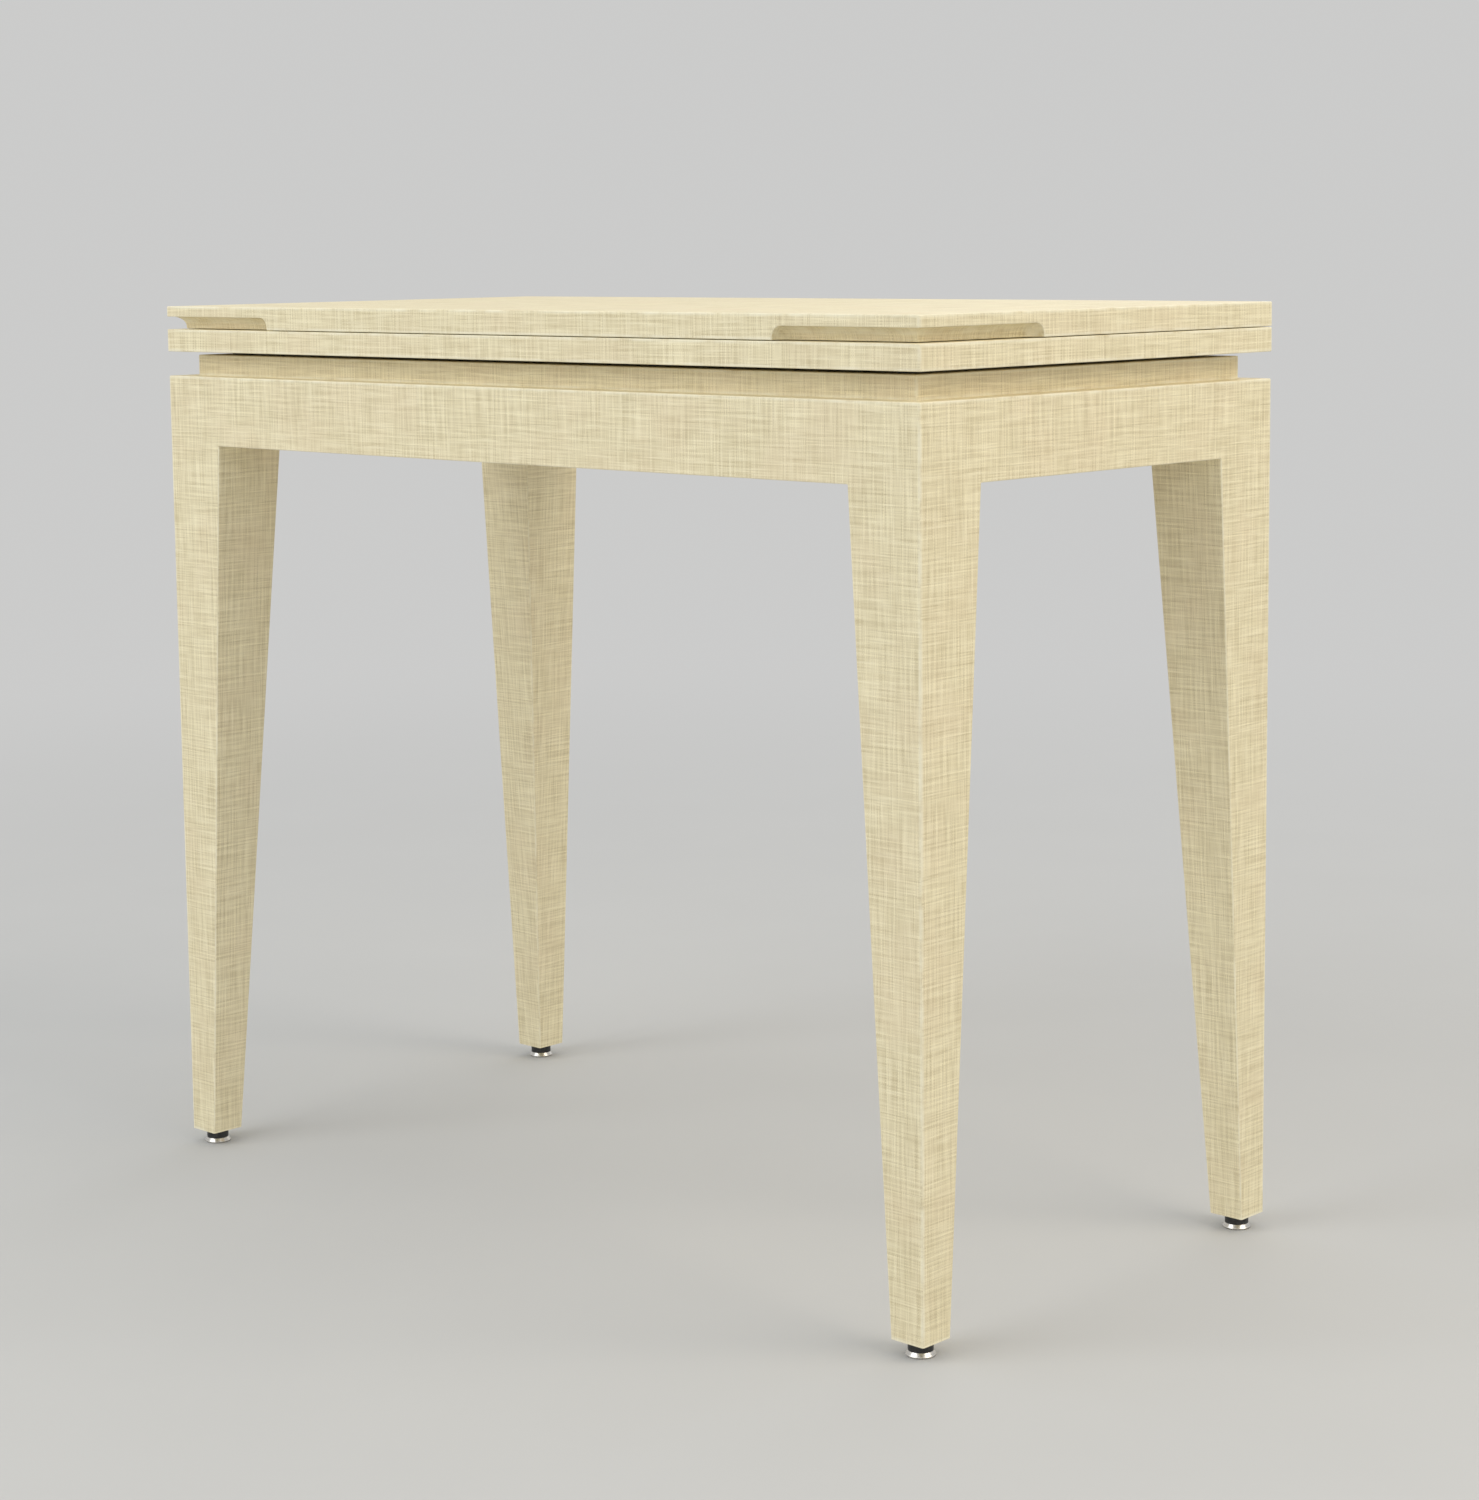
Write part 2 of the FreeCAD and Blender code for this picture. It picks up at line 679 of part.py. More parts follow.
# Bush and washers. The flanged bush lines the hole, and the thrust washer lies on it and carries the
# spindle's flange at the same height as the felt pads.
bush_length = "(Size.riser_thickness + Size.pivot_rail_height)"
bush = turned_body(
    "pivot_bush",
    [
        ("At.bush_bore_radius", f"-{bush_length}"),
        ("At.bush_radius", f"-{bush_length}"),
        ("At.bush_radius", "-Size.bush_flange_thickness"),
        ("Size.bush_flange_diameter / 2", "-Size.bush_flange_thickness"),
        ("Size.bush_flange_diameter / 2", "0"),
        ("At.bush_bore_radius", "0"),
    ],
)
keep(place(bush, "At.pivot", "At.pivot", "At.riser_top"), "pivot_bush")

thrust_washer = ring("thrust_washer", "At.washer_bore", "Size.thrust_washer_diameter", "Size.pad_thickness")
keep(place(thrust_washer, "At.pivot", "At.pivot", "At.riser_top + Size.pad_thickness"), "thrust_washer")

clamp_washer = ring(
    "clamp_washer", "At.washer_bore", "Size.clamp_washer_diameter", "Size.clamp_washer_thickness"
)
keep(place(clamp_washer, "At.pivot", "At.pivot", "At.clamp_top"), "clamp_washer")

# The disc spring is a shallow cone: its rim bears on the clamp washer and its bore on the nut.
spring_bore = "At.washer_bore / 2"
spring_rim = "Size.spring_diameter / 2"
disc_spring = turned_body(
    "disc_spring",
    [
        (spring_bore, "-Size.spring_rise - Size.spring_thickness"),
        (spring_rim, "-Size.spring_thickness"),
        (spring_rim, "0"),
        (spring_bore, "-Size.spring_rise"),
    ],
)
keep(place(disc_spring, "At.pivot", "At.pivot", "At.spring_top"), "disc_spring")

# Lock nut: a hexagon with a round collar below, which grips the thread.
lock_nut = new_body("lock_nut")
hexagon = new_sketch(lock_nut, "XY_Plane", "-Size.nut_hex_height")
hex_radius = "Size.nut_width / sqrt(3)"
draw_outline(
    hexagon,
    [(f"{hex_radius} * cos({turn})", f"{hex_radius} * sin({turn})") for turn in range(0, 360, 60)],
)
add_pad(lock_nut, hexagon, "Size.nut_hex_height")
nut_collar = new_sketch(lock_nut, "XY_Plane", "-Size.nut_hex_height - Size.nut_collar_height")
draw_circle(nut_collar, "0", "0", "Size.nut_collar_diameter")
add_pad(lock_nut, nut_collar, "Size.nut_collar_height")
nut_bore = draw_circle(new_sketch(lock_nut, "XY_Plane"), "0", "0", "2 * At.bush_bore_radius")
add_cut(lock_nut, "Pocket", nut_bore, Length="Size.nut_hex_height + Size.nut_collar_height")
keep(place(lock_nut, "At.pivot", "At.pivot", "At.nut_top"), "lock_nut")

# Glide pads: felt discs stuck to the riser panel along its two long edges.
glide_pad = new_body("glide_pad")
add_pad(
    glide_pad,
    draw_circle(new_sketch(glide_pad, "XY_Plane"), "0", "0", "Size.pad_diameter"),
    "Size.pad_thickness",
)
pad_top = number("Size.pad_thickness")
add_fillet(glide_pad, "Size.pad_arris", lambda edge: on_level(edge, "z", pad_top))
pad_spots = [
    (f"{x_sign} * ({x})", f"{y_sign} * (At.riser_half_depth - Size.pad_edge)", "At.riser_top", None)
    for y_sign in (-1, 1)
    for x_sign in (-1, 1)
    for x in ("At.riser_half_length - Size.pad_edge", "Size.pad_inner")
]
keep(group("glide_pads", copies(glide_pad, pad_spots)), "glide_pads")

# Spindle. A flange let flush into the underside of the lower leaf, with the stud that turns in the bush.
stud_radius = "Size.stud_diameter / 2"
flange_radius = "Size.spindle_flange_diameter / 2"
spindle = turned_body(
    "pivot_spindle_blank",
    [
        ("0", "-At.stud_length"),
        (f"{stud_radius} - Size.stud_chamfer", "-At.stud_length"),
        (stud_radius, "Size.stud_chamfer - At.stud_length"),
        (stud_radius, "0"),
        (flange_radius, "0"),
        (flange_radius, "Size.spindle_flange_thickness"),
        ("0", "Size.spindle_flange_thickness"),
    ],
)
place(spindle, "At.pivot", "At.pivot", "At.lower_bottom")
spindle_screw_spots = [
    (
        f"At.pivot + Size.spindle_screw_circle / 2 * cos({turn})",
        f"At.pivot + Size.spindle_screw_circle / 2 * sin({turn})",
        "At.lower_bottom",
        UP,
    )
    for turn in range(45, 360, 90)
]
keep(group("spindle_screws", copies(spindle_screw, spindle_screw_spots)), "spindle_screws")
spindle_holes = group("spindle_screw_holes", copies(spindle_drill, spindle_screw_spots))
drilled(spindle, [spindle_holes], "pivot_spindle")

# Stop pin, from its hole in the lower leaf down into the riser panel's groove.
stop_pin_radius = "Size.stop_pin_diameter / 2"
stop_pin_tip = "Size.stop_groove_depth - Size.stop_clearance + At.lower_bottom - At.riser_top"
stop_pin = turned_body(
    "stop_pin",
    [
        ("0", f"-({stop_pin_tip})"),
        (f"{stop_pin_radius} - Size.stop_pin_chamfer", f"-({stop_pin_tip})"),
        (stop_pin_radius, f"Size.stop_pin_chamfer - ({stop_pin_tip})"),
        (stop_pin_radius, "Size.stop_pin_seat"),
        ("0", "Size.stop_pin_seat"),
    ],
)
keep(place(stop_pin, "At.pivot - Size.stop_radius", "At.pivot", "At.lower_bottom"), "stop_pin")

# Hinges. The plates lie flush in the leaves' back edges, and the knuckles turn about a line just behind
# them, at the height of the seam. The lower plate has the two outer knuckles, the upper plate the middle one.
HINGES = {"left": "-At.hinge_side", "middle": "0", "right": "At.hinge_side"}
HALF_HINGE = "Size.hinge_length / 2"
HALF_KNUCKLE = "Size.hinge_length / 6"


def round_cut(body, start, length, diameter):
    """Cut a round along X, from a start back towards -X."""
    sketch = draw_circle(new_sketch(body, "YZ_Plane", start), "0", "0", diameter)
    add_cut(body, "Pocket", sketch, Length=length)


def make_plate(name, upper):
    """A hinge plate with its knuckles, in a frame on the hinge's axis."""
    body = new_body(name)
    plate = new_sketch(body, "XZ_Plane", "Size.hinge_offset")
    low, high = ("0", "Size.plate_height") if upper else ("-Size.plate_height", "0")
    add_pad(body, draw_rectangle(plate, f"-{HALF_HINGE}", low, HALF_HINGE, high), "Size.plate_thickness")
    barrel = draw_circle(new_sketch(body, "YZ_Plane", f"-{HALF_HINGE}"), "0", "0", "Size.knuckle_diameter")
    add_pad(body, barrel, "Size.hinge_length")
    room = "2 * At.knuckle_room"
    if upper:
        outer = f"{HALF_HINGE} - {HALF_KNUCKLE} + {BREAKOUT}"
        round_cut(body, f"{HALF_HINGE} + {BREAKOUT}", outer, room)
        round_cut(body, f"-{HALF_KNUCKLE}", outer, room)
        fit = "Size.running_fit"
    else:
        inner = f"{HALF_KNUCKLE} + Size.knuckle_gap"
        round_cut(body, inner, f"2 * ({inner})", room)
        fit = "Size.pin_clearance"
    round_cut(body, HALF_HINGE, "Size.hinge_length", f"Size.pin_diameter + 2 * {fit}")
    return body


def plate_screw_spots(z):
    """Three screws in each plate at one height."""
    return [
        (f"{x} + {step} * Size.plate_screw_spread", "At.half_depth", z, INTO_BACK_EDGE)
        for x in HINGES.values()
        for step in (-1, 0, 1)
    ]


plate_holes = {}
for level, sign in (("lower", "-"), ("upper", "+")):
    spots = plate_screw_spots(f"At.hinge_height {sign} Size.plate_screw_drop")
    keep(group(f"{level}_hinge_screws", copies(hinge_screw, spots)), f"{level}_hinge_screws")
    plate_holes[level] = group(f"{level}_hinge_screw_holes", copies(hinge_drill, spots))
    for hinge, x in HINGES.items():
        label = f"{hinge}_hinge_{level}_plate"
        plate = make_plate(f"{label}_blank", level == "upper")
        place(plate, x, "At.hinge_line", "At.hinge_height")
        drilled(plate, [plate_holes[level]], label)

for hinge, x in HINGES.items():
    pin = doc.addObject("Part::Cylinder", f"{hinge}_hinge_pin")
    pin.setExpression("Radius", "Size.pin_diameter / 2")
    pin.setExpression("Height", "Size.hinge_length")
    place(pin, f"{x} - {HALF_HINGE}", "At.hinge_line", "At.hinge_height", Rotation(Vector(0, 1, 0), 90))
    keep(pin, f"{hinge}_hinge_pin")

# Leaves. Both are boards of one size, rounded along every arris, with mortises for the hinges in the back
# edge.


def make_leaf(name):
    body = new_body(name)
    outline = new_sketch(body, "XY_Plane")
    draw_rounded(
        outline,
        "-At.half_length",
        "-At.half_depth",
        "At.half_length",
        "At.half_depth",
        "Size.leaf_corner",
    )
    add_pad(body, outline, "Size.leaf_thickness")
    top = number("Size.leaf_thickness")
    add_fillet(body, "Size.arris", lambda edge: on_level(edge, "z", 0, top))
    return body


def cut_hinge_mortises(body, axis_height, low, high):
    """Cut the seats of the plates and the room for the knuckles into a leaf's back edge."""
    seats = new_sketch(body, "XZ_Plane", "-At.half_depth")
    half = f"({HALF_HINGE} + Size.mortise_clearance)"
    for x in HINGES.values():
        draw_rectangle(seats, f"{x} - {half}", low, f"{x} + {half}", high)
    add_cut(body, "Pocket", seats, Length="Size.plate_thickness", Reversed=True)
    for x in HINGES.values():
        room = new_sketch(body, "YZ_Plane", f"{x} + {half}")
        draw_circle(room, "At.hinge_line", axis_height, "2 * At.knuckle_room")
        add_cut(body, "Pocket", room, Length=f"2 * {half}")


lower_leaf = make_leaf("lower_leaf_blank")
cut_hinge_mortises(
    lower_leaf,
    "Size.leaf_thickness + Size.leaf_seam / 2",
    "Size.leaf_thickness + Size.leaf_seam / 2 - Size.plate_height - Size.mortise_clearance",
    f"Size.leaf_thickness + {BREAKOUT}",
)
flange_recess = new_sketch(lower_leaf, "XY_Plane")
draw_circle(
    flange_recess, "At.pivot", "At.pivot", "Size.spindle_flange_diameter + 2 * Size.mortise_clearance"
)
add_cut(lower_leaf, "Pocket", flange_recess, Length="Size.spindle_flange_thickness", Reversed=True)
stop_pin_hole = new_sketch(lower_leaf, "XY_Plane")
draw_circle(
    stop_pin_hole,
    "At.pivot - Size.stop_radius",
    "At.pivot",
    "Size.stop_pin_diameter + 2 * Size.drill_clearance",
)
add_cut(lower_leaf, "Pocket", stop_pin_hole, Length="Size.stop_pin_seat", Reversed=True)
place(lower_leaf, z="At.lower_bottom")
drilled(lower_leaf, [plate_holes["lower"], spindle_holes], "lower_leaf")

# The upper leaf's two front corners are coved underneath, along the front and round onto the ends, so that
# fingers can lift it. Each cove is a quarter round in section over a straight foot, with a round end.
upper_leaf = make_leaf("upper_leaf_blank")
coves = new_sketch(upper_leaf, "XY_Plane")
outer_x = f"At.half_length + {BREAKOUT}"
outer_y = f"-At.half_depth - {BREAKOUT}"
inner_x = "At.half_length - Size.cove_depth"
inner_y = "Size.cove_depth - At.half_depth"
run_x = "At.half_length - Size.cove_length"
run_y = "Size.cove_length - At.half_depth"
right_cove = [
    (run_x, outer_y),
    (outer_x, outer_y),
    (outer_x, run_y),
    ("At.half_length", run_y),
    (inner_x, f"{run_y} - Size.cove_depth"),
    (inner_x, inner_y),
    (f"{run_x} + Size.cove_depth", inner_y),
    (run_x, "-At.half_depth"),
]
left_cove = [(f"-({x})", y) for x, y in reversed(right_cove)]
draw_outline(coves, right_cove, {3: "Size.cove_depth", 6: "Size.cove_depth"})
draw_outline(coves, left_cove, {0: "Size.cove_depth", 3: "Size.cove_depth"})
add_cut(upper_leaf, "Pocket", coves, Length="Size.cove_height", Reversed=True)
cove_top = number("Size.cove_height")
end_x = number("At.half_length")
front_y = -number("At.half_depth")


def on_leaf_edge(edge):
    """Whether an edge lies in the leaf's front or end faces, or in the rounded corners between them."""
    middle = edge.valueAt((edge.FirstParameter + edge.LastParameter) / 2)
    corner = number("Size.leaf_corner")
    return abs(abs(middle.x) - end_x) < corner and middle.y < 0 or abs(middle.y - front_y) < corner


cove_wall = "min(Size.cove_height; Size.cove_depth) - Size.cove_foot"
add_fillet(
    upper_leaf,
    f"min(Size.cove_radius; {cove_wall})",
    lambda edge: on_level(edge, "z", cove_top) and not on_leaf_edge(edge),
)
add_fillet(upper_leaf, "Size.lip_arris", lambda edge: on_level(edge, "z", cove_top) and on_leaf_edge(edge))
cut_hinge_mortises(
    upper_leaf,
    "-Size.leaf_seam / 2",
    f"-{BREAKOUT}",
    "Size.plate_height + Size.mortise_clearance - Size.leaf_seam / 2",
)
place(upper_leaf, z="At.upper_bottom")
drilled(upper_leaf, [plate_holes["upper"]], "upper_leaf")

# Levelling feet. The stem turns in the insert in the leg's end, and carries the collar and the base disc.
stem_radius = "Size.stem_diameter / 2"
base_radius = "Size.foot_base_diameter / 2"
collar_radius = "Size.collar_diameter / 2"


def make_foot_base(name):
    return turned_body(
        name,
        [
            ("0", "0"),
            (f"{base_radius} - Size.foot_base_edge", "0"),
            (base_radius, "Size.foot_base_edge"),
            (collar_radius, "Size.foot_base_thickness"),
            ("At.stem_seat_radius", "Size.foot_base_thickness"),
            ("At.stem_seat_radius", "Size.foot_socket_floor"),
            ("0", "Size.foot_socket_floor"),
        ],
        {1: "Size.foot_base_edge"},
    )


def make_foot_collar(name):
    return turned_body(
        name,
        [
            ("At.stem_seat_radius", "Size.foot_base_thickness"),
            (collar_radius, "Size.foot_base_thickness"),
            (collar_radius, "At.collar_top - Size.collar_arris"),
            (f"{collar_radius} - Size.collar_arris", "At.collar_top"),
            ("At.stem_seat_radius", "At.collar_top"),
        ],
        {2: "Size.collar_arris"},
    )


def make_foot_stem(name):
    return turned_body(
        name,
        [
            ("0", "Size.foot_socket_floor"),
            (stem_radius, "Size.foot_socket_floor"),
            (stem_radius, "At.stem_top - Size.stem_chamfer"),
            (f"{stem_radius} - Size.stem_chamfer", "At.stem_top"),
            ("0", "At.stem_top"),
        ],
    )


foot_spots = []
for corner, (x_sign, y_sign, _) in CORNERS.items():
    x = f"{x_sign} * (At.frame_half_length - Size.leg_foot_width / 2)"
    y = f"{y_sign} * (At.frame_half_depth - Size.leg_foot_width / 2)"
    foot_spots.append((x, y, "At.leg_bottom", None))
    for part, make in (("base", make_foot_base), ("collar", make_foot_collar), ("stem", make_foot_stem)):
        label = f"{corner}_foot_{part}"
        keep(place(make(label), x, y), label)

insert_radius = "Size.insert_diameter / 2"
insert_flange = "Size.insert_flange_diameter / 2"
foot_insert = turned_body(
    "foot_insert",
    [
        ("At.stem_seat_radius", "0"),
        (insert_flange, "0"),
        (insert_flange, "Size.insert_flange_thickness"),
        (insert_radius, "Size.insert_flange_thickness"),
        (insert_radius, "Size.insert_length"),
        ("At.stem_seat_radius", "Size.insert_length"),
    ],
)
keep(group("foot_inserts", copies(foot_insert, foot_spots)), "foot_inserts")

# Every object has to be sound before anything is written.
doc.recompute()
failed = [part.Label for part in doc.Objects if {"Invalid", "Error"} & set(part.State)]
failed += [label for label, piece in pieces.items() if piece.Shape.isNull() or not piece.Shape.isValid()]
if failed:
    raise RuntimeError(f"not sound: {failed}")

os.makedirs("parts", exist_ok=True)
for label, piece in pieces.items():
    piece.Shape.exportStep(f"parts/{label}.step")
print(f"{len(pieces)} pieces written")
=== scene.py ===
import math

import bpy
import numpy as np
from mathutils import Matrix, Vector


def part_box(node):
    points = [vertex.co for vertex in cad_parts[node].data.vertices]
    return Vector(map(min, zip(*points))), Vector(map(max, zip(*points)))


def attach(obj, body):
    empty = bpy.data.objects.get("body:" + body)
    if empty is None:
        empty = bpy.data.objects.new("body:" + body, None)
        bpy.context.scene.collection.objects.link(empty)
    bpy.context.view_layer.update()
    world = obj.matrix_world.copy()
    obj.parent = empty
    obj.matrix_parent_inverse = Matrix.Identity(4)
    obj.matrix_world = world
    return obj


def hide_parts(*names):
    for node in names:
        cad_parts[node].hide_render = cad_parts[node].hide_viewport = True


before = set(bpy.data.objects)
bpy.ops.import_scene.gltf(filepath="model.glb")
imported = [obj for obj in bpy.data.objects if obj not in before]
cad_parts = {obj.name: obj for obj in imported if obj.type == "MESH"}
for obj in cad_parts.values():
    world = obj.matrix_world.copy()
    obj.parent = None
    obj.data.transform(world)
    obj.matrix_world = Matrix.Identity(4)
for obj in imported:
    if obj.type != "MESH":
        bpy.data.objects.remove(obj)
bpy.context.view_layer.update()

# Legs and aprons: hardwood posts and rails, jointed and sanded flush, then covered in one skin of linen.
# The cloth is glued down across the joints and flooded with clear lacquer, which is rubbed back to a satin.
# A pale highlight is painted along every arris and broken up in patches.

CORNERS = [f"{end}_{side}" for end in ("front", "back") for side in ("left", "right")]
BASE_FRAME = [f"{corner}_leg" for corner in CORNERS]
BASE_FRAME += [f"{side}_apron" for side in ("front", "back", "left", "right")]
NEAR_MOST = 0.999  # a face looks along the axis whose part is over this share of the largest
THREAD = 0.00104  # metres from one thread to the next
THREAD_SWAY = 0.0017  # metres that a thread wanders sideways
SWAYS = 9.0  # in a metre
SHADE_STEP = 0.61  # how far the shade moves on from one thread to the next
SHADES_ALONG = 17.0  # changes of shade in a metre of thread
SHADE_CONTRAST = 2.25
TOP_THREAD_SHARE = 0.6  # how much of a crossing's shade is the upper thread's alone
SLUBS_ACROSS = 560.0  # thick places in a metre, across the threads and then along them
SLUBS_ALONG = 24.0
SLUB_LIGHT = 0.12
SLUB_HEIGHT = 0.5  # against a thread's own height
UPRIGHT_START = 0.3  # where each way's threads begin in the noise, so that the two ways differ
LYING_START = 57.7
CROSSING_SOFTNESS = 0.6
ARRIS_EDGE = 0.0032  # metres from two faces of a block where its painted arris highlight begins, and where it is palest
ARRIS_HEART = 0.0008
LINEN_RELIEF = 0.0003
SHADED_THREAD = (0.615, 0.522, 0.312, 1)
BRIGHT_THREAD = (0.955, 0.862, 0.592, 1)
PALE_SLUB = (0.953, 0.873, 0.63, 1)
FLAX_BLUSH = (0.80, 0.62, 0.42, 1)
# the colour of a highlight painted along every arris
ARRIS_PAINTED_HIGHLIGHT = (0.965, 0.91, 0.70, 1)


def put(tree, kind, inputs=(), **settings):
    """A new shader node with its settings. inputs gives its sockets by name or number, each a plain value or
    another socket to join it to."""
    made = tree.nodes.new("ShaderNode" + kind)
    for name, setting in settings.items():
        setattr(made, name, setting)
    for name, given in dict(inputs).items():
        if isinstance(given, bpy.types.NodeSocket):
            tree.links.new(given, made.inputs[name])
        else:
            made.inputs[name].default_value = given
    return made


def reckon(tree, operation, *terms):
    """The outcome of one Math node on its terms."""
    return put(tree, "Math", enumerate(terms), operation=operation).outputs[0]


def ramp(tree, value, base, rise):
    """A straight line: base where value is 0, and base and rise together where it is 1."""
    return reckon(tree, "MULTIPLY_ADD", value, rise, base)


def choose(tree, share, low, high):
    """The value low where share is 0 and high where it is 1, and between them in proportion."""
    return put(tree, "Mix", {0: share, 2: low, 3: high}).outputs[0]


def fade(tree, value, start, end):
    """A smooth step from 0 where value is at start to 1 where it is at end."""
    spans = {"Value": value, "From Min": start, "From Max": end}
    return put(tree, "MapRange", spans, interpolation_type="SMOOTHSTEP").outputs[0]


def dye(tree, share, ground, top, most=1.0):
    """The colour ground, turned towards the colour top by share, as far as most where share is 1."""
    if most < 1.0:
        share = reckon(tree, "MULTIPLY", share, most)
    return put(tree, "Mix", {0: share, 6: ground, 7: top}, data_type="RGBA").outputs[2]


def mottle(tree, place, clouds, detail=2.0):
    """Cloudy noise from 0 to 1, with a number of clouds a metre for each axis."""
    spread = put(tree, "VectorMath", {0: place, 1: clouds}, operation="MULTIPLY").outputs[0]
    return put(tree, "TexNoise", {"Vector": spread, "Scale": 1.0, "Detail": detail}).outputs[0]


def open_group(name, inputs, outputs):
    """An empty node group with named sockets: its tree, what comes in and what goes out."""
    tree = bpy.data.node_groups.new(name, "ShaderNodeTree")
    for socket, kind in inputs.items():
        tree.interface.new_socket(socket, in_out="INPUT", socket_type="NodeSocket" + kind)
    for socket in outputs:
        tree.interface.new_socket(socket, in_out="OUTPUT", socket_type="NodeSocketFloat")
    return tree, tree.nodes.new("NodeGroupInput").outputs, tree.nodes.new("NodeGroupOutput").inputs


def weave_cloth():
    """The linen as a node group. A face that looks along X is woven over Y and Z, one along Y over X and Z,
    and one along Z over X and Y. A thread's shade is noise that drifts along it and is partly shared with its
    neighbours, thick slubs lie both ways, and the rise of a plain weave is the higher of two threads, each a
    round back that dips under every other crossing. Arris masks a painted highlight: it lies where the
    surface is rounded, or where a point is near two faces of the block that the cloth covers, and noise
    breaks it up in patches. Block is the point's place from the block's middle, and Half is half the block's
    size."""
    cloth, given, out = open_group(
        "linen_cloth",
        {"Place": "Vector", "Facing": "Vector", "Block": "Vector", "Half": "Vector"},
        ("Tone", "Slub", "Rise", "Arris"),
    )
    x, y, z = put(cloth, "SeparateXYZ", {0: given["Place"]}).outputs
    unsigned = put(cloth, "VectorMath", {0: given["Facing"]}, operation="ABSOLUTE").outputs[0]
    look_x, look_y, look_z = put(cloth, "SeparateXYZ", {0: unsigned}).outputs
    most = reckon(cloth, "MAXIMUM", reckon(cloth, "MAXIMUM", look_x, look_y), look_z)
    just_under = reckon(cloth, "MULTIPLY", most, NEAR_MOST)
    level = choose(cloth, reckon(cloth, "GREATER_THAN", look_x, just_under), x, y)
    rising = choose(cloth, reckon(cloth, "GREATER_THAN", look_z, just_under), z, y)
    sway = put(cloth, "TexNoise", {"Vector": given["Place"], "Scale": SWAYS, "Detail": 1.0}).outputs[1]
    sway_level, sway_rising, _ = put(cloth, "SeparateXYZ", {0: sway}).outputs
    level = ramp(cloth, sway_level, base=level, rise=THREAD_SWAY)
    rising = ramp(cloth, sway_rising, base=rising, rise=THREAD_SWAY)

    def streaks(across, along):
        """Noise from 0 to 1 over a count across the threads and a count along them."""
        spot = put(cloth, "CombineXYZ", {0: across, 1: along}).outputs[0]
        noise = {"Vector": spot, "Scale": 1.0, "Detail": 2.0}
        return put(cloth, "TexNoise", noise, noise_dimensions="2D").outputs[0]

    def one_way(across, along, start):
        """The threads that run one way: how far across them, the thread's number, its shade and its slubs."""
        turns = reckon(cloth, "DIVIDE", across, THREAD)
        count = reckon(cloth, "FLOOR", turns)
        own_line = ramp(cloth, count, base=start, rise=SHADE_STEP)
        shade = streaks(own_line, reckon(cloth, "MULTIPLY", along, SHADES_ALONG))
        thick = ramp(cloth, across, base=start, rise=SLUBS_ACROSS)
        lump = streaks(thick, reckon(cloth, "MULTIPLY", along, SLUBS_ALONG))
        return turns, count, shade, fade(cloth, lump, start=0.5, end=0.78)

    upright, upright_count, upright_shade, upright_slub = one_way(level, rising, UPRIGHT_START)
    lying, lying_count, lying_shade, lying_slub = one_way(rising, level, LYING_START)

    def back_of(turns, crossing, count, side):
        """One thread's rise: its round back, times a wave that is high on every other crossing."""
        off_middle = reckon(cloth, "SUBTRACT", reckon(cloth, "FRACT", turns), 0.5)
        back = ramp(cloth, reckon(cloth, "MULTIPLY", off_middle, off_middle), base=1.0, rise=-4.0)
        beat = reckon(cloth, "ADD", reckon(cloth, "SUBTRACT", crossing, 0.5), count)
        wave = reckon(cloth, "COSINE", reckon(cloth, "MULTIPLY", beat, math.pi))
        return reckon(cloth, "MULTIPLY", back, ramp(cloth, wave, base=0.5, rise=0.5 * side))

    upright_rise = back_of(upright, lying, upright_count, 1)
    lying_rise = back_of(lying, upright, lying_count, -1)
    slub = reckon(cloth, "MAXIMUM", upright_slub, lying_slub)
    lead = reckon(cloth, "SUBTRACT", lying_rise, upright_rise)
    over = fade(cloth, lead, start=-CROSSING_SOFTNESS, end=CROSSING_SOFTNESS)
    both = reckon(cloth, "MULTIPLY", reckon(cloth, "ADD", upright_shade, lying_shade), 0.5)
    shade = choose(cloth, TOP_THREAD_SHARE, both, choose(cloth, over, upright_shade, lying_shade))
    tone = ramp(cloth, reckon(cloth, "SUBTRACT", shade, 0.5), base=0.5, rise=SHADE_CONTRAST)
    cloth.links.new(ramp(cloth, slub, base=tone, rise=SLUB_LIGHT), out["Tone"])
    cloth.links.new(slub, out["Slub"])
    rise = reckon(cloth, "MAXIMUM", upright_rise, lying_rise)
    cloth.links.new(ramp(cloth, slub, base=rise, rise=SLUB_HEIGHT), out["Rise"])

    off = put(cloth, "VectorMath", {0: given["Block"]}, operation="ABSOLUTE").outputs[0]
    deep = put(cloth, "VectorMath", {0: given["Half"], 1: off}, operation="SUBTRACT").outputs[0]
    deep_x, deep_y, deep_z = put(cloth, "SeparateXYZ", {0: deep}).outputs
    least = reckon(cloth, "MINIMUM", deep_x, deep_y)
    larger = reckon(cloth, "MAXIMUM", deep_x, deep_y)
    second = reckon(cloth, "MAXIMUM", least, reckon(cloth, "MINIMUM", larger, deep_z))
    by_edge = fade(cloth, second, start=ARRIS_EDGE, end=ARRIS_HEART)
    rounded = fade(cloth, most, start=0.985, end=0.86)
    patches = mottle(cloth, given["Place"], clouds=(55, 55, 55), detail=3.0)
    # noise patches that break up the painted arris highlight
    rubbed = fade(cloth, patches, start=0.22, end=0.68)
    arris = reckon(cloth, "MULTIPLY", reckon(cloth, "MAXIMUM", by_edge, rounded), rubbed)
    cloth.links.new(arris, out["Arris"])
    return cloth


linen_cloth = weave_cloth()


def start_finish(name):
    """A new material with an empty tree, and its Texture Coordinate sockets."""
    material = bpy.data.materials.new(name)
    material.use_nodes = True
    material.node_tree.nodes.clear()
    return material, material.node_tree, put(material.node_tree, "TexCoord").outputs


def end_finish(tree, inputs):
    """The material's shader, with its inputs, joined to the output."""
    shader = put(tree, "BsdfPrincipled", inputs)
    put(tree, "OutputMaterial", {"Surface": shader.outputs[0]})


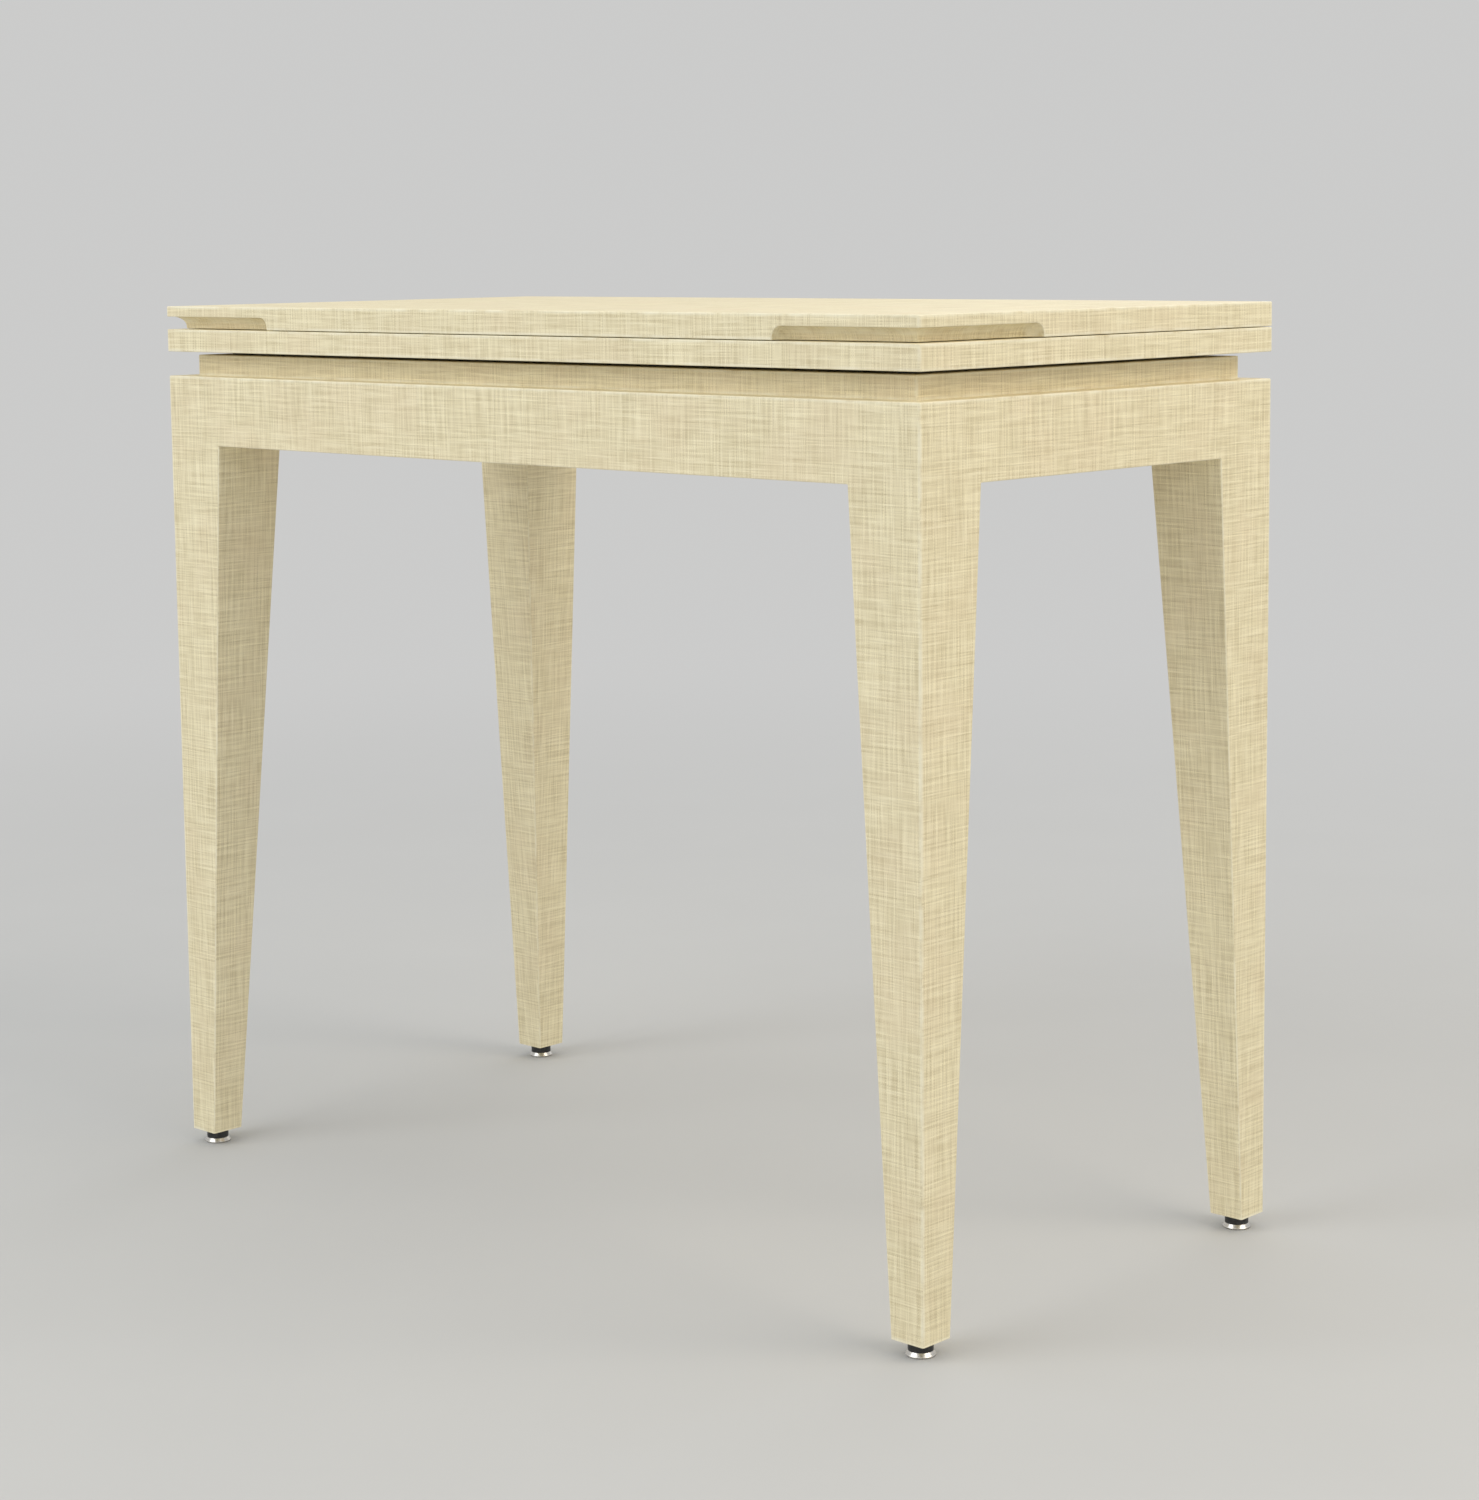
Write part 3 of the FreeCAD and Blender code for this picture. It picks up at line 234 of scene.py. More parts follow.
def linen_finish(name, low, high, shift):
    """Lacquered linen. low and high are the corners of the block that it covers, and shift slides the cloth,
    so that two pieces one above the other aren't cut from one length."""
    material, tree, place = start_finish(name)
    middle = (Vector(low) + Vector(high)) / 2
    cut = put(tree, "Mapping", {"Vector": place["Object"], "Location": shift}).outputs[0]
    block = put(tree, "VectorMath", {0: place["Object"], 1: middle}, operation="SUBTRACT").outputs[0]
    given = {"Place": cut, "Facing": place["Normal"], "Block": block, "Half": Vector(high) - middle}
    weave = put(tree, "Group", given, node_tree=linen_cloth).outputs
    blush = fade(tree, mottle(tree, cut, clouds=(16, 16, 16), detail=3.0), start=0.42, end=0.72)
    colour = dye(tree, weave["Tone"], SHADED_THREAD, BRIGHT_THREAD)
    colour = dye(tree, weave["Slub"], colour, PALE_SLUB, most=0.32)
    colour = dye(tree, blush, colour, FLAX_BLUSH, most=0.16)
    # a painted highlight along every arris and rounded edge, in patches
    colour = dye(tree, weave["Arris"], colour, ARRIS_PAINTED_HIGHLIGHT, most=0.7)
    rough = ramp(tree, mottle(tree, cut, clouds=(9, 9, 9)), base=0.5, rise=0.16)
    rough = ramp(tree, weave["Rise"], base=rough, rise=-0.08)
    bump = put(tree, "Bump", {"Strength": 0.3, "Distance": LINEN_RELIEF, "Height": weave["Rise"]})
    end_finish(
        tree,
        {
            "Base Color": colour,
            "Roughness": rough,
            "Normal": bump.outputs[0],
            "Specular IOR Level": 0.34,
            "Coat Weight": 0.09,
            "Coat Roughness": 0.34,
        },
    )
    return material


def dress(material, *names):
    """Puts a finish on CAD nodes by name."""
    for name in names:
        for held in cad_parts[name].material_slots:
            held.material = material


legs_low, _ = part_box("front_left_leg")
_, legs_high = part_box("back_right_leg")
dress(linen_finish("linen_base_frame", legs_low, legs_high, shift=(0.0, 0.0, 0.0)), *BASE_FRAME)

# Cleats and pivot rail: planed strips of plain beech, left unfinished inside the frame. The cleats are glued
# and screwed round the aprons to carry the riser panel, and the rail stiffens it at the pivot.

GRAIN_BEND = (0.0, 0.02, 0.02)  # metres that the grain strays from straight
BEECH_RELIEF = 0.0002
BEECH_EARLY = (0.68, 0.47, 0.28, 1)
BEECH_LATE = (0.50, 0.31, 0.165, 1)
BEECH_FLECK = (0.33, 0.18, 0.085, 1)


def grow_beech():
    """Beech as a node group, with the grain along X. Wide growth bands and fine pores are noise drawn out
    along the grain, and the flecks are the peaks of a noise of short dashes."""
    wood, given, out = open_group("beech_grain", {"Place": "Vector"}, ("Band", "Pore", "Fleck"))
    bend = put(wood, "TexNoise", {"Vector": given["Place"], "Scale": 5.0, "Detail": 1.0}).outputs[1]
    stray = {0: bend, 1: GRAIN_BEND, 2: given["Place"]}
    bent = put(wood, "VectorMath", stray, operation="MULTIPLY_ADD").outputs[0]
    wood.links.new(mottle(wood, bent, clouds=(3, 150, 150), detail=3.0), out["Band"])
    wood.links.new(mottle(wood, bent, clouds=(60, 2200, 2200)), out["Pore"])
    dashes = mottle(wood, bent, clouds=(170, 900, 900), detail=1.0)
    wood.links.new(fade(wood, dashes, start=0.6, end=0.72), out["Fleck"])
    return wood


beech_grain = grow_beech()


def beech_finish(name, turn):
    """Planed beech, with the grain turned by an angle about the upright."""
    material, tree, place = start_finish(name)
    along = put(tree, "Mapping", {"Vector": place["Object"], "Rotation": (0.0, 0.0, turn)}).outputs[0]
    grain = put(tree, "Group", {"Place": along}, node_tree=beech_grain).outputs
    colour = dye(tree, fade(tree, grain["Band"], start=0.3, end=0.7), BEECH_EARLY, BEECH_LATE)
    colour = dye(tree, grain["Fleck"], colour, BEECH_FLECK, most=0.7)
    colour = dye(tree, grain["Pore"], colour, BEECH_LATE, most=0.25)
    rough = ramp(tree, grain["Band"], base=0.52, rise=0.18)
    bump = put(tree, "Bump", {"Strength": 0.25, "Distance": BEECH_RELIEF, "Height": grain["Pore"]})
    end_finish(tree, {"Base Color": colour, "Roughness": rough, "Normal": bump.outputs[0]})
    return material


dress(beech_finish("beech_lengthways", turn=0.0), "front_cleat", "back_cleat")
dress(beech_finish("beech_crossways", turn=math.pi / 2), "left_cleat", "right_cleat", "pivot_rail")

# Wood screws of the cleats, the rail and the riser panel: steel, bright zinc plated, driven flush with the
# beech. The plating is mottled, slightly blue in places and straw in others.

MACHINED_RELIEF = 0.0001
ZINC_GREY = (0.64, 0.65, 0.67, 1)
ZINC_BLUE = (0.55, 0.60, 0.68, 1)
ZINC_STRAW = (0.70, 0.66, 0.56, 1)


def work_metal():
    """A metal surface as a node group. Lines is noise drawn out as Lay says, in lines a metre on each axis,
    Stain is slow clouding, and Scuff is the peaks of a noise of thin marks that cross the lay."""
    sockets = {"Place": "Vector", "Lay": "Vector"}
    metal, given, out = open_group("metal_skin", sockets, ("Lines", "Stain", "Scuff"))
    metal.links.new(mottle(metal, given["Place"], clouds=given["Lay"], detail=3.0), out["Lines"])
    metal.links.new(mottle(metal, given["Place"], clouds=(190, 190, 190), detail=3.0), out["Stain"])
    aslant = put(metal, "Mapping", {"Vector": given["Place"], "Rotation": (0.4, 0.9, 0.6)}).outputs[0]
    marks = mottle(metal, aslant, clouds=(90, 3200, 900), detail=1.0)
    metal.links.new(fade(metal, marks, start=0.62, end=0.75), out["Scuff"])
    return metal


metal_skin = work_metal()


def zinc_finish(name, lay):
    """Bright zinc plating over steel with its machining lines laid one way."""
    material, tree, place = start_finish(name)
    skin = put(tree, "Group", {"Place": place["Object"], "Lay": lay}, node_tree=metal_skin).outputs
    colour = dye(tree, fade(tree, skin["Stain"], start=0.3, end=0.55), ZINC_BLUE, ZINC_GREY)
    colour = dye(tree, fade(tree, skin["Stain"], start=0.52, end=0.75), colour, ZINC_STRAW)
    rough = ramp(tree, skin["Lines"], base=0.2, rise=0.22)
    rough = ramp(tree, skin["Scuff"], base=rough, rise=0.15)
    bump = put(tree, "Bump", {"Strength": 0.2, "Distance": MACHINED_RELIEF, "Height": skin["Lines"]})
    end_finish(tree, {"Base Color": colour, "Metallic": 1.0, "Roughness": rough, "Normal": bump.outputs[0]})
    return material


zinc_plating = zinc_finish("zinc_plating", lay=(1500, 1500, 1500))
dress(zinc_plating, "cleat_screws", "riser_screws", "pivot_rail_screws")

# Levelling feet: a turned nickel-plated base, a black moulded collar pressed on it and a threaded steel stem.
# The stem turns in a plain steel insert driven up into the leg's end, so each foot goes up and down alone.

STEM_ROOT = 0.00325  # radius
STEM_PITCH = 0.00125
STEM_CREST_FLAT = 0.125  # in parts of the pitch
STEM_ROOT_FLAT = 0.25
STEM_POINT = 0.0004  # how far inside the root the ends are drawn in
STEM_SIDES = 32  # points round the stem, and rows of them up it
STEM_ROWS = 250
NICKEL = (0.79, 0.77, 0.73, 1)
NICKEL_SHADE = (0.62, 0.60, 0.57, 1)
LOW_RIM_BROWN = (0.40, 0.37, 0.32, 1)
LOW_RIM_TOP = 0.0022  # metres above the floor, where the darker rim begins and where it is darkest
LOW_RIM_FULL = 0.0002
COLLAR_BLACK = (0.018, 0.018, 0.019, 1)
COLLAR_RUBBED = (0.05, 0.05, 0.05, 1)


def corners_of(node):
    """The low and the high corner of a CAD node's box, to a tenth of a millimetre, which makes up for the
    little that a meshed circle falls short."""
    return [np.round(corner, 4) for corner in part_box(node)]


def middle_of(node):
    """The middle of a CAD node's box."""
    low, high = corners_of(node)
    return tuple((low + high) / 2)


def round_quads(rows, columns, turned=False):
    """Faces of a grid of points whose columns run round to their start, with a quad between each two rows.
    They look the other way if turned."""
    row, column = np.meshgrid(np.arange(rows - 1), np.arange(columns), indexing="ij")
    beside = (column + 1) % columns
    near, far = row * columns, (row + 1) * columns
    quads = [near + column, near + beside, far + beside, far + column]
    if turned:
        quads = [near + column, far + column, far + beside, near + beside]
    return np.stack(quads, axis=-1).reshape(-1, 4)


def closed_skin(points):
    """Corners and faces of closed pieces, from points counted by piece, row, column and axis. A piece's
    columns run round it, and its first and last rows are the two ends: each closes on one point, the middle
    of its row."""
    pieces, rows, columns, _ = points.shape
    ends = points[:, [0, -1]].mean(axis=2)
    corners = np.concatenate([points.reshape(pieces, -1, 3), ends], axis=1)
    turn = np.arange(columns)
    beside = (turn + 1) % columns
    last = (rows - 1) * columns
    bottom = np.stack([np.full(columns, rows * columns), beside, turn], axis=-1)
    top = np.stack([np.full(columns, rows * columns + 1), last + turn, last + beside], axis=-1)
    step = corners.shape[1] * np.arange(pieces)[:, None, None]
    faces = (round_quads(rows, columns) + step).reshape(-1, 4).tolist()
    faces += (np.concatenate([bottom, top]) + step).reshape(-1, 3).tolist()
    return corners.reshape(-1, 3), faces


def make_piece(name, corners, faces, material, crease):
    """A smooth mesh object at the origin, sharp where two faces meet at more than crease degrees."""
    mesh = bpy.data.meshes.new(name)
    mesh.from_pydata(corners.tolist(), [], faces)
    mesh.shade_smooth()
    mesh.set_sharp_from_angle(angle=math.radians(crease))
    mesh.materials.append(material)
    made = bpy.data.objects.new(name, mesh)
    bpy.context.scene.collection.objects.link(made)
    return made


def threaded_stem(low, high):
    """A screw thread over angle and height, in the box of a plain stem. It climbs one pitch a turn, and its
    radius is a trapezoid of the part of the pitch climbed: flat at the crest and the root, with straight
    flanks. Both ends are drawn in as cones."""
    x, y, _ = (low + high) / 2
    crest = (high[0] - low[0]) / 2
    angle = np.linspace(0.0, 2 * math.pi, STEM_SIDES, endpoint=False)[None, :]
    height = np.linspace(low[2], high[2], STEM_ROWS)[:, None]
    climbed = (height / STEM_PITCH - angle / (2 * math.pi)) % 1.0
    root_edge = 0.5 - STEM_ROOT_FLAT / 2
    flank = root_edge - STEM_CREST_FLAT / 2
    share = np.clip((root_edge - np.abs(climbed - 0.5)) / flank, 0.0, 1.0)
    radius = STEM_ROOT + (crest - STEM_ROOT) * share
    from_end = np.minimum(height - low[2], high[2] - height)
    radius = np.minimum(radius, STEM_ROOT - STEM_POINT + from_end)
    around = [x + radius * np.cos(angle), y + radius * np.sin(angle), height + 0.0 * angle]
    return closed_skin(np.stack(around, axis=-1)[None])


def turned_rings(tree, place, middle, rings, detail):
    """Noise in rings round an upright axis through a point, with a number of rings a metre."""
    own = put(tree, "VectorMath", {0: place, 1: middle}, operation="SUBTRACT").outputs[0]
    flat = put(tree, "VectorMath", {0: own, 1: (1, 1, 0)}, operation="MULTIPLY").outputs[0]
    reach = put(tree, "VectorMath", {0: flat}, operation="LENGTH").outputs[1]
    noise = {"W": reach, "Scale": rings, "Detail": detail}
    return put(tree, "TexNoise", noise, noise_dimensions="1D").outputs[0]


def nickel_finish():
    """Polished nickel with the lathe's rings round each foot, darker brown and duller in patches at the rim
    on the floor. Folding the table's four corners onto one finds each foot's own middle."""
    material, tree, place = start_finish("nickel_plating")
    folded = put(tree, "VectorMath", {0: place["Object"]}, operation="ABSOLUTE").outputs[0]
    rings = turned_rings(tree, folded, middle_of("back_right_foot_base"), rings=3800.0, detail=2.0)
    given = {"Place": place["Object"], "Lay": (700, 700, 700)}
    skin = put(tree, "Group", given, node_tree=metal_skin).outputs
    height = put(tree, "SeparateXYZ", {0: place["Object"]}).outputs[2]
    low_down = fade(tree, height, start=LOW_RIM_TOP, end=LOW_RIM_FULL)
    # the lowest two millimetres above the floor turn darker brown and rougher in patches
    low_rim = reckon(tree, "MULTIPLY", low_down, fade(tree, skin["Lines"], start=0.35, end=0.65))
    colour = dye(tree, fade(tree, rings, start=0.35, end=0.65), NICKEL_SHADE, NICKEL)
    colour = dye(tree, low_rim, colour, LOW_RIM_BROWN, most=0.6)
    rough = ramp(tree, rings, base=0.2, rise=0.14)
    rough = ramp(tree, skin["Scuff"], base=rough, rise=0.12)
    rough = ramp(tree, low_rim, base=rough, rise=0.35)
    bump = put(tree, "Bump", {"Strength": 0.08, "Distance": MACHINED_RELIEF, "Height": rings})
    end_finish(tree, {"Base Color": colour, "Metallic": 1.0, "Roughness": rough, "Normal": bump.outputs[0]})
    return material


def collar_finish():
    """Black moulded plastic with a fine spark texture, rubbed greyer in patches."""
    material, tree, place = start_finish("collar_plastic")
    grain = mottle(tree, place["Object"], clouds=(2600, 2600, 2600))
    patches = mottle(tree, place["Object"], clouds=(260, 260, 260), detail=3.0)
    colour = dye(tree, fade(tree, patches, start=0.45, end=0.75), COLLAR_BLACK, COLLAR_RUBBED)
    rough = ramp(tree, grain, base=0.3, rise=0.25)
    bump = put(tree, "Bump", {"Strength": 0.2, "Distance": MACHINED_RELIEF, "Height": grain})
    end_finish(tree, {"Base Color": colour, "Roughness": rough, "Normal": bump.outputs[0]})
    return material


nickel_plating = nickel_finish()
collar_plastic = collar_finish()
dress(zinc_plating, "foot_inserts")
for corner in CORNERS:
    foot = f"{corner}_foot"
    dress(nickel_plating, f"{foot}_base")
    dress(collar_plastic, f"{foot}_collar")
    thread = threaded_stem(*corners_of(f"{foot}_stem"))
    stem = make_piece(f"{foot}_thread", *thread, zinc_plating, crease=40)
    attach(stem, foot)
    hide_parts(f"{foot}_stem")

# Riser panel: the recessed neck, a board wrapped in the same lacquered linen and screwed up from the cleats.
# It holds the brass pivot bush, a nylon thrust washer round it, and felt pads that the top glides over,
# which are cut by hand and glued on.

PAD_RADIUS = 0.012
PAD_INNER_SPOT = 0.130  # metres from the middle, along the table
PAD_CUT = 0.985  # the rim's mean reach, in parts of the radius
PAD_WAVES = ((0.009, 5, 1.7), (0.006, 11, 2.9))  # a wave's size, its number round the rim, its turn by pad
PAD_RIM_POWER = 0.2
PAD_FACE_POWER = 0.45
PAD_STEEPEST = 1.45  # radians of slope at the first and the last row
PAD_SIDES = 40
PAD_ROWS = 29
FELT_RELIEF = 0.0004
FELT_TANGLE = (0.004, 0.004, 0.004)
FELT_DARK = (0.075, 0.068, 0.058, 1)
FELT_PALE = (0.19, 0.175, 0.15, 1)
NYLON_MILK = (0.80, 0.77, 0.69, 1)
NYLON_WORN = (0.66, 0.63, 0.55, 1)
BRASS = (0.82, 0.61, 0.27, 1)
BRASS_DULL = (0.44, 0.29, 0.11, 1)


def felt_pads():
    """Eight round pads. Over angle and slope, the radius is a low power of the slope's cosine and the height
    a low power of its sine, which is a disc with a soft rim. Slow waves round the rim make it look hand
    cut."""
    low, high = corners_of("glide_pads")
    end, row, _ = high - PAD_RADIUS
    spots = [(x, y) for y in (-row, row) for x in (-end, -PAD_INNER_SPOT, PAD_INNER_SPOT, end)]
    x, y = np.array(spots).T[:, :, None, None]
    angle = np.linspace(0.0, 2 * math.pi, PAD_SIDES, endpoint=False)[None, None, :]
    slope = np.linspace(-PAD_STEEPEST, PAD_STEEPEST, PAD_ROWS)[None, :, None]
    pad = np.arange(len(spots))[:, None, None]
    cut = PAD_CUT + sum(size * np.sin(count * angle + turn * pad) for size, count, turn in PAD_WAVES)
    radius = PAD_RADIUS * cut * np.cos(slope) ** PAD_RIM_POWER
    half = (high[2] - low[2]) / 2
    height = low[2] + half + half * np.sign(slope) * np.abs(np.sin(slope)) ** PAD_FACE_POWER
    around = np.broadcast_arrays(x + radius * np.cos(angle), y + radius * np.sin(angle), height)
    return closed_skin(np.stack(around, axis=-1))


def felt_finish():
    """Pressed wool felt: dark and pale fibres matted together, with a soft sheen."""
    material, tree, place = start_finish("grey_felt")
    matted = put(tree, "TexNoise", {"Vector": place["Object"], "Scale": 240.0, "Detail": 2.0}).outputs[1]
    stray = {0: matted, 1: FELT_TANGLE, 2: place["Object"]}
    tangled = put(tree, "VectorMath", stray, operation="MULTIPLY_ADD").outputs[0]
    fibres = mottle(tree, tangled, clouds=(2400, 1300, 1800), detail=3.0)
    colour = dye(tree, fade(tree, fibres, start=0.3, end=0.7), FELT_DARK, FELT_PALE)
    rough = ramp(tree, fibres, base=0.78, rise=0.2)
    bump = put(tree, "Bump", {"Strength": 0.6, "Distance": FELT_RELIEF, "Height": fibres})
    end_finish(
        tree,
        {
            "Base Color": colour,
            "Roughness": rough,
            "Normal": bump.outputs[0],
            "Sheen Weight": 0.35,
            "Sheen Roughness": 0.5,
        },
    )
    return material


def nylon_finish():
    """Natural nylon, milky, and worn in rings round the pivot."""
    material, tree, place = start_finish("natural_nylon")
    rings = turned_rings(tree, place["Object"], middle_of("pivot_bush"), rings=1500.0, detail=3.0)
    cloud = mottle(tree, place["Object"], clouds=(120, 120, 120))
    worn = fade(tree, reckon(tree, "MULTIPLY", rings, cloud), start=0.15, end=0.4)
    colour = dye(tree, worn, NYLON_MILK, NYLON_WORN)
    rough = ramp(tree, rings, base=0.3, rise=0.2)
    bump = put(tree, "Bump", {"Strength": 0.1, "Distance": MACHINED_RELIEF, "Height": rings})
    end_finish(tree, {"Base Color": colour, "Roughness": rough, "Normal": bump.outputs[0]})
    return material


def brass_finish(name, lay, aged):
    """Satin brass, brushed one way, brown in the brush lines and in slow clouds. aged is how brown it is all
    over."""
    material, tree, place = start_finish(name)
    skin = put(tree, "Group", {"Place": place["Object"], "Lay": lay}, node_tree=metal_skin).outputs
    dull = fade(tree, skin["Stain"], start=0.45, end=0.8)
    brown = ramp(tree, fade(tree, skin["Lines"], start=0.6, end=0.36), base=aged, rise=0.35)
    brown = ramp(tree, dull, base=brown, rise=0.45)
    colour = dye(tree, brown, BRASS, BRASS_DULL)
    rough = ramp(tree, skin["Lines"], base=0.14, rise=0.24)
    rough = ramp(tree, dull, base=rough, rise=0.14)
    bump = put(tree, "Bump", {"Strength": 0.4, "Distance": MACHINED_RELIEF, "Height": skin["Lines"]})
    end_finish(tree, {"Base Color": colour, "Metallic": 1.0, "Roughness": rough, "Normal": bump.outputs[0]})
    return material


dress(linen_finish("linen_riser", *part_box("riser_panel"), shift=(0.137, 0.211, 0.058)), "riser_panel")
dress(brass_finish("turned_brass", lay=(900, 900, 2600), aged=0.1), "pivot_bush")
dress(nylon_finish(), "thrust_washer")
pads = make_piece("felt_pads", *felt_pads(), felt_finish(), crease=60)
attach(pads, "base_frame")
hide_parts("glide_pads")

# Lower leaf: a board in lacquered linen that turns on a steel spindle let into its underside with screws.
# Below the rail a clamp washer, a disc spring and a lock nut hold the spindle down, and a pin stops the turn
# at a quarter.

NUT_HEXAGON = 0.010  # height, with the round collar below it
NUT_FACE = 0.01164  # radius of the flat end, inside the chamfer
NUT_COLLAR = 0.0105  # radius
NUT_BORE = 0.00805  # radius
NUT_BORE_EASE = 0.0006
NUT_COLLAR_ROUND = 0.0012
NUT_ROUND_MIDDLE = 0.3  # how far in from the corner the round's middle is, in parts of the round
NUT_CONE = math.radians(30)
NUT_STEPS = 72


def ring_skin(points):
    """Corners and faces of a ring, from points counted by row, column and axis. Rows and columns both run
    round to their start."""
    rows, columns, _ = points.shape
    quads = round_quads(rows + 1, columns, turned=True) % (rows * columns)
    return points.reshape(-1, 3), quads.tolist()


def chamfered_nut(low, high):
    """A hexagon nut with a round collar below, in the box of a plain one. Its reach is half the width over
    the cosine of the angle from a flat's middle, and a cone cuts the corners at both ends. The profile goes
    from the bore over the top, down the outside and back up the bore."""
    x, y, _ = (low + high) / 2
    half_width = (high[1] - low[1]) / 2
    top, bottom = high[2], low[2]
    hexagon_low = top - NUT_HEXAGON
    sector = math.pi / 3
    angle = np.linspace(0.0, 2 * math.pi, NUT_STEPS, endpoint=False)
    flat = half_width / np.cos(angle % sector - sector / 2)
    cut = (flat - NUT_FACE) * math.tan(NUT_CONE)
    middle_of_round = NUT_ROUND_MIDDLE * NUT_COLLAR_ROUND
    profile = [
        (NUT_BORE + NUT_BORE_EASE, top),
        (NUT_FACE, top),
        (flat, top - cut),
        (flat, hexagon_low + cut),
        (NUT_FACE, hexagon_low),
        (NUT_COLLAR, hexagon_low),
        (NUT_COLLAR, bottom + NUT_COLLAR_ROUND),
        (NUT_COLLAR - middle_of_round, bottom + middle_of_round),
        (NUT_COLLAR - NUT_COLLAR_ROUND, bottom),
        (NUT_BORE + NUT_BORE_EASE, bottom),
        (NUT_BORE, bottom + NUT_BORE_EASE),
        (NUT_BORE, top - NUT_BORE_EASE),
    ]
    reach, height = (np.stack([step[part] + 0.0 * angle for step in profile]) for part in (0, 1))
    around = [x + reach * np.cos(angle), y + reach * np.sin(angle), height]
    return ring_skin(np.stack(around, axis=-1))


dress(linen_finish("linen_lower_leaf", *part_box("lower_leaf"), shift=(0.421, 0.083, 0.317)), "lower_leaf")
dress(zinc_plating, "pivot_spindle", "spindle_screws", "clamp_washer", "disc_spring", "stop_pin")
nut = make_piece("chamfered_lock_nut", *chamfered_nut(*corners_of("lock_nut")), zinc_plating, crease=25)
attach(nut, "lower_top")
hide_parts("lock_nut")

# Hinges: three pairs of brass plates let into the back edges of the two leaves, each pair on its own pin.
# The brass is brushed along its length, left satin, and held with countersunk brass screws.

HINGES = ("left", "middle", "right")
brushed_brass = brass_finish("brushed_brass", lay=(50, 2600, 2600), aged=0.0)
dress(brushed_brass, *(f"{hinge}_hinge_{half}_plate" for hinge in HINGES for half in ("lower", "upper")))
dress(brushed_brass, *(f"{hinge}_hinge_pin" for hinge in HINGES))
screw_brass = brass_finish("screw_brass", lay=(1400, 1400, 1400), aged=0.6)
dress(screw_brass, "lower_hinge_screws", "upper_hinge_screws")

# Upper leaf: the board that folds over, wrapped and lacquered as the lower one, with a finger cove cut under
# each front corner so that it can be lifted.

dress(linen_finish("linen_upper_leaf", *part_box("upper_leaf"), shift=(0.733, 0.297, 0.611)), "upper_leaf")

# Studio: a floor of pale painted board, which fades with distance into a plain pale surround.
# Three broad soft lamps hang in front, at the right and behind, under an even white sky.

FLOOR_REACH = 8.0
FLOOR_FIRST_RING = 0.02  # in parts of the way out, which is then squared
FLOOR_RINGS = 24
FLOOR_SIDES = 96
FADE_START = 0.9  # metres from the middle where the floor begins to fade, and where it is gone
FADE_END = 3.4
FLOOR_PALE = (0.56, 0.56, 0.55, 1)
FLOOR_DULL = (0.54, 0.54, 0.53, 1)
SURROUND = (0.60, 0.60, 0.595, 1)
SKY_WHITE = (0.98, 0.99, 1.0, 1)
SKY_STRENGTH = 0.77
LAMP_AIM = (0.0, 0.0, 0.45)  # between the legs


def floor_surface():
    """A flat disc over angle and reach, its rings wider apart as they go out, with a point at the middle."""
    angle = np.linspace(0.0, 2 * math.pi, FLOOR_SIDES, endpoint=False)[None, :]
    reach = FLOOR_REACH * np.linspace(FLOOR_FIRST_RING, 1.0, FLOOR_RINGS)[:, None] ** 2
    rings = np.stack([reach * np.cos(angle), reach * np.sin(angle), 0 * (reach + angle)], axis=-1)
    corners = np.concatenate([rings.reshape(-1, 3), np.zeros((1, 3))])
    quads = round_quads(FLOOR_RINGS, FLOOR_SIDES, turned=True)
    turn = np.arange(FLOOR_SIDES)
    middle = np.stack([np.full(FLOOR_SIDES, len(corners) - 1), turn, (turn + 1) % FLOOR_SIDES], axis=-1)
    return corners, quads.tolist() + middle.tolist()


def seen_rays(tree):
    """1 for a ray from the eye, or one that the eye sees in a shiny or a clear surface, and 0 for light."""
    ray = put(tree, "LightPath").outputs
    shiny = reckon(tree, "MAXIMUM", ray["Is Glossy Ray"], ray["Is Transmission Ray"])
    return reckon(tree, "MAXIMUM", ray["Is Camera Ray"], shiny)


def floor_finish():
    """Flat pale paint, rolled on, that fades to the surround with reach. From below it lets the eye
    through."""
    material, tree, place = start_finish("floor_paint")
    rolled = mottle(tree, place["Object"], clouds=(5, 5, 5), detail=3.0)
    colour = dye(tree, rolled, FLOOR_DULL, FLOOR_PALE)
    paint = put(tree, "BsdfPrincipled", {"Base Color": colour, "Roughness": 0.9, "Specular IOR Level": 0.2})
    reach = put(tree, "VectorMath", {0: place["Object"]}, operation="LENGTH").outputs[1]
    far_off = fade(tree, reach, start=FADE_START, end=FADE_END)
    gone = reckon(tree, "MULTIPLY", far_off, seen_rays(tree))
    surround = put(tree, "Emission", {"Color": SURROUND})
    faded = put(tree, "MixShader", {0: gone, 1: paint.outputs[0], 2: surround.outputs[0]})
    under = put(tree, "NewGeometry").outputs["Backfacing"]
    clear = put(tree, "BsdfTransparent")
    shown = put(tree, "MixShader", {0: under, 1: faded.outputs[0], 2: clear.outputs[0]})
    put(tree, "OutputMaterial", {"Surface": shown.outputs[0]})
    return material


make_piece("studio_floor", *floor_surface(), floor_finish(), crease=180)


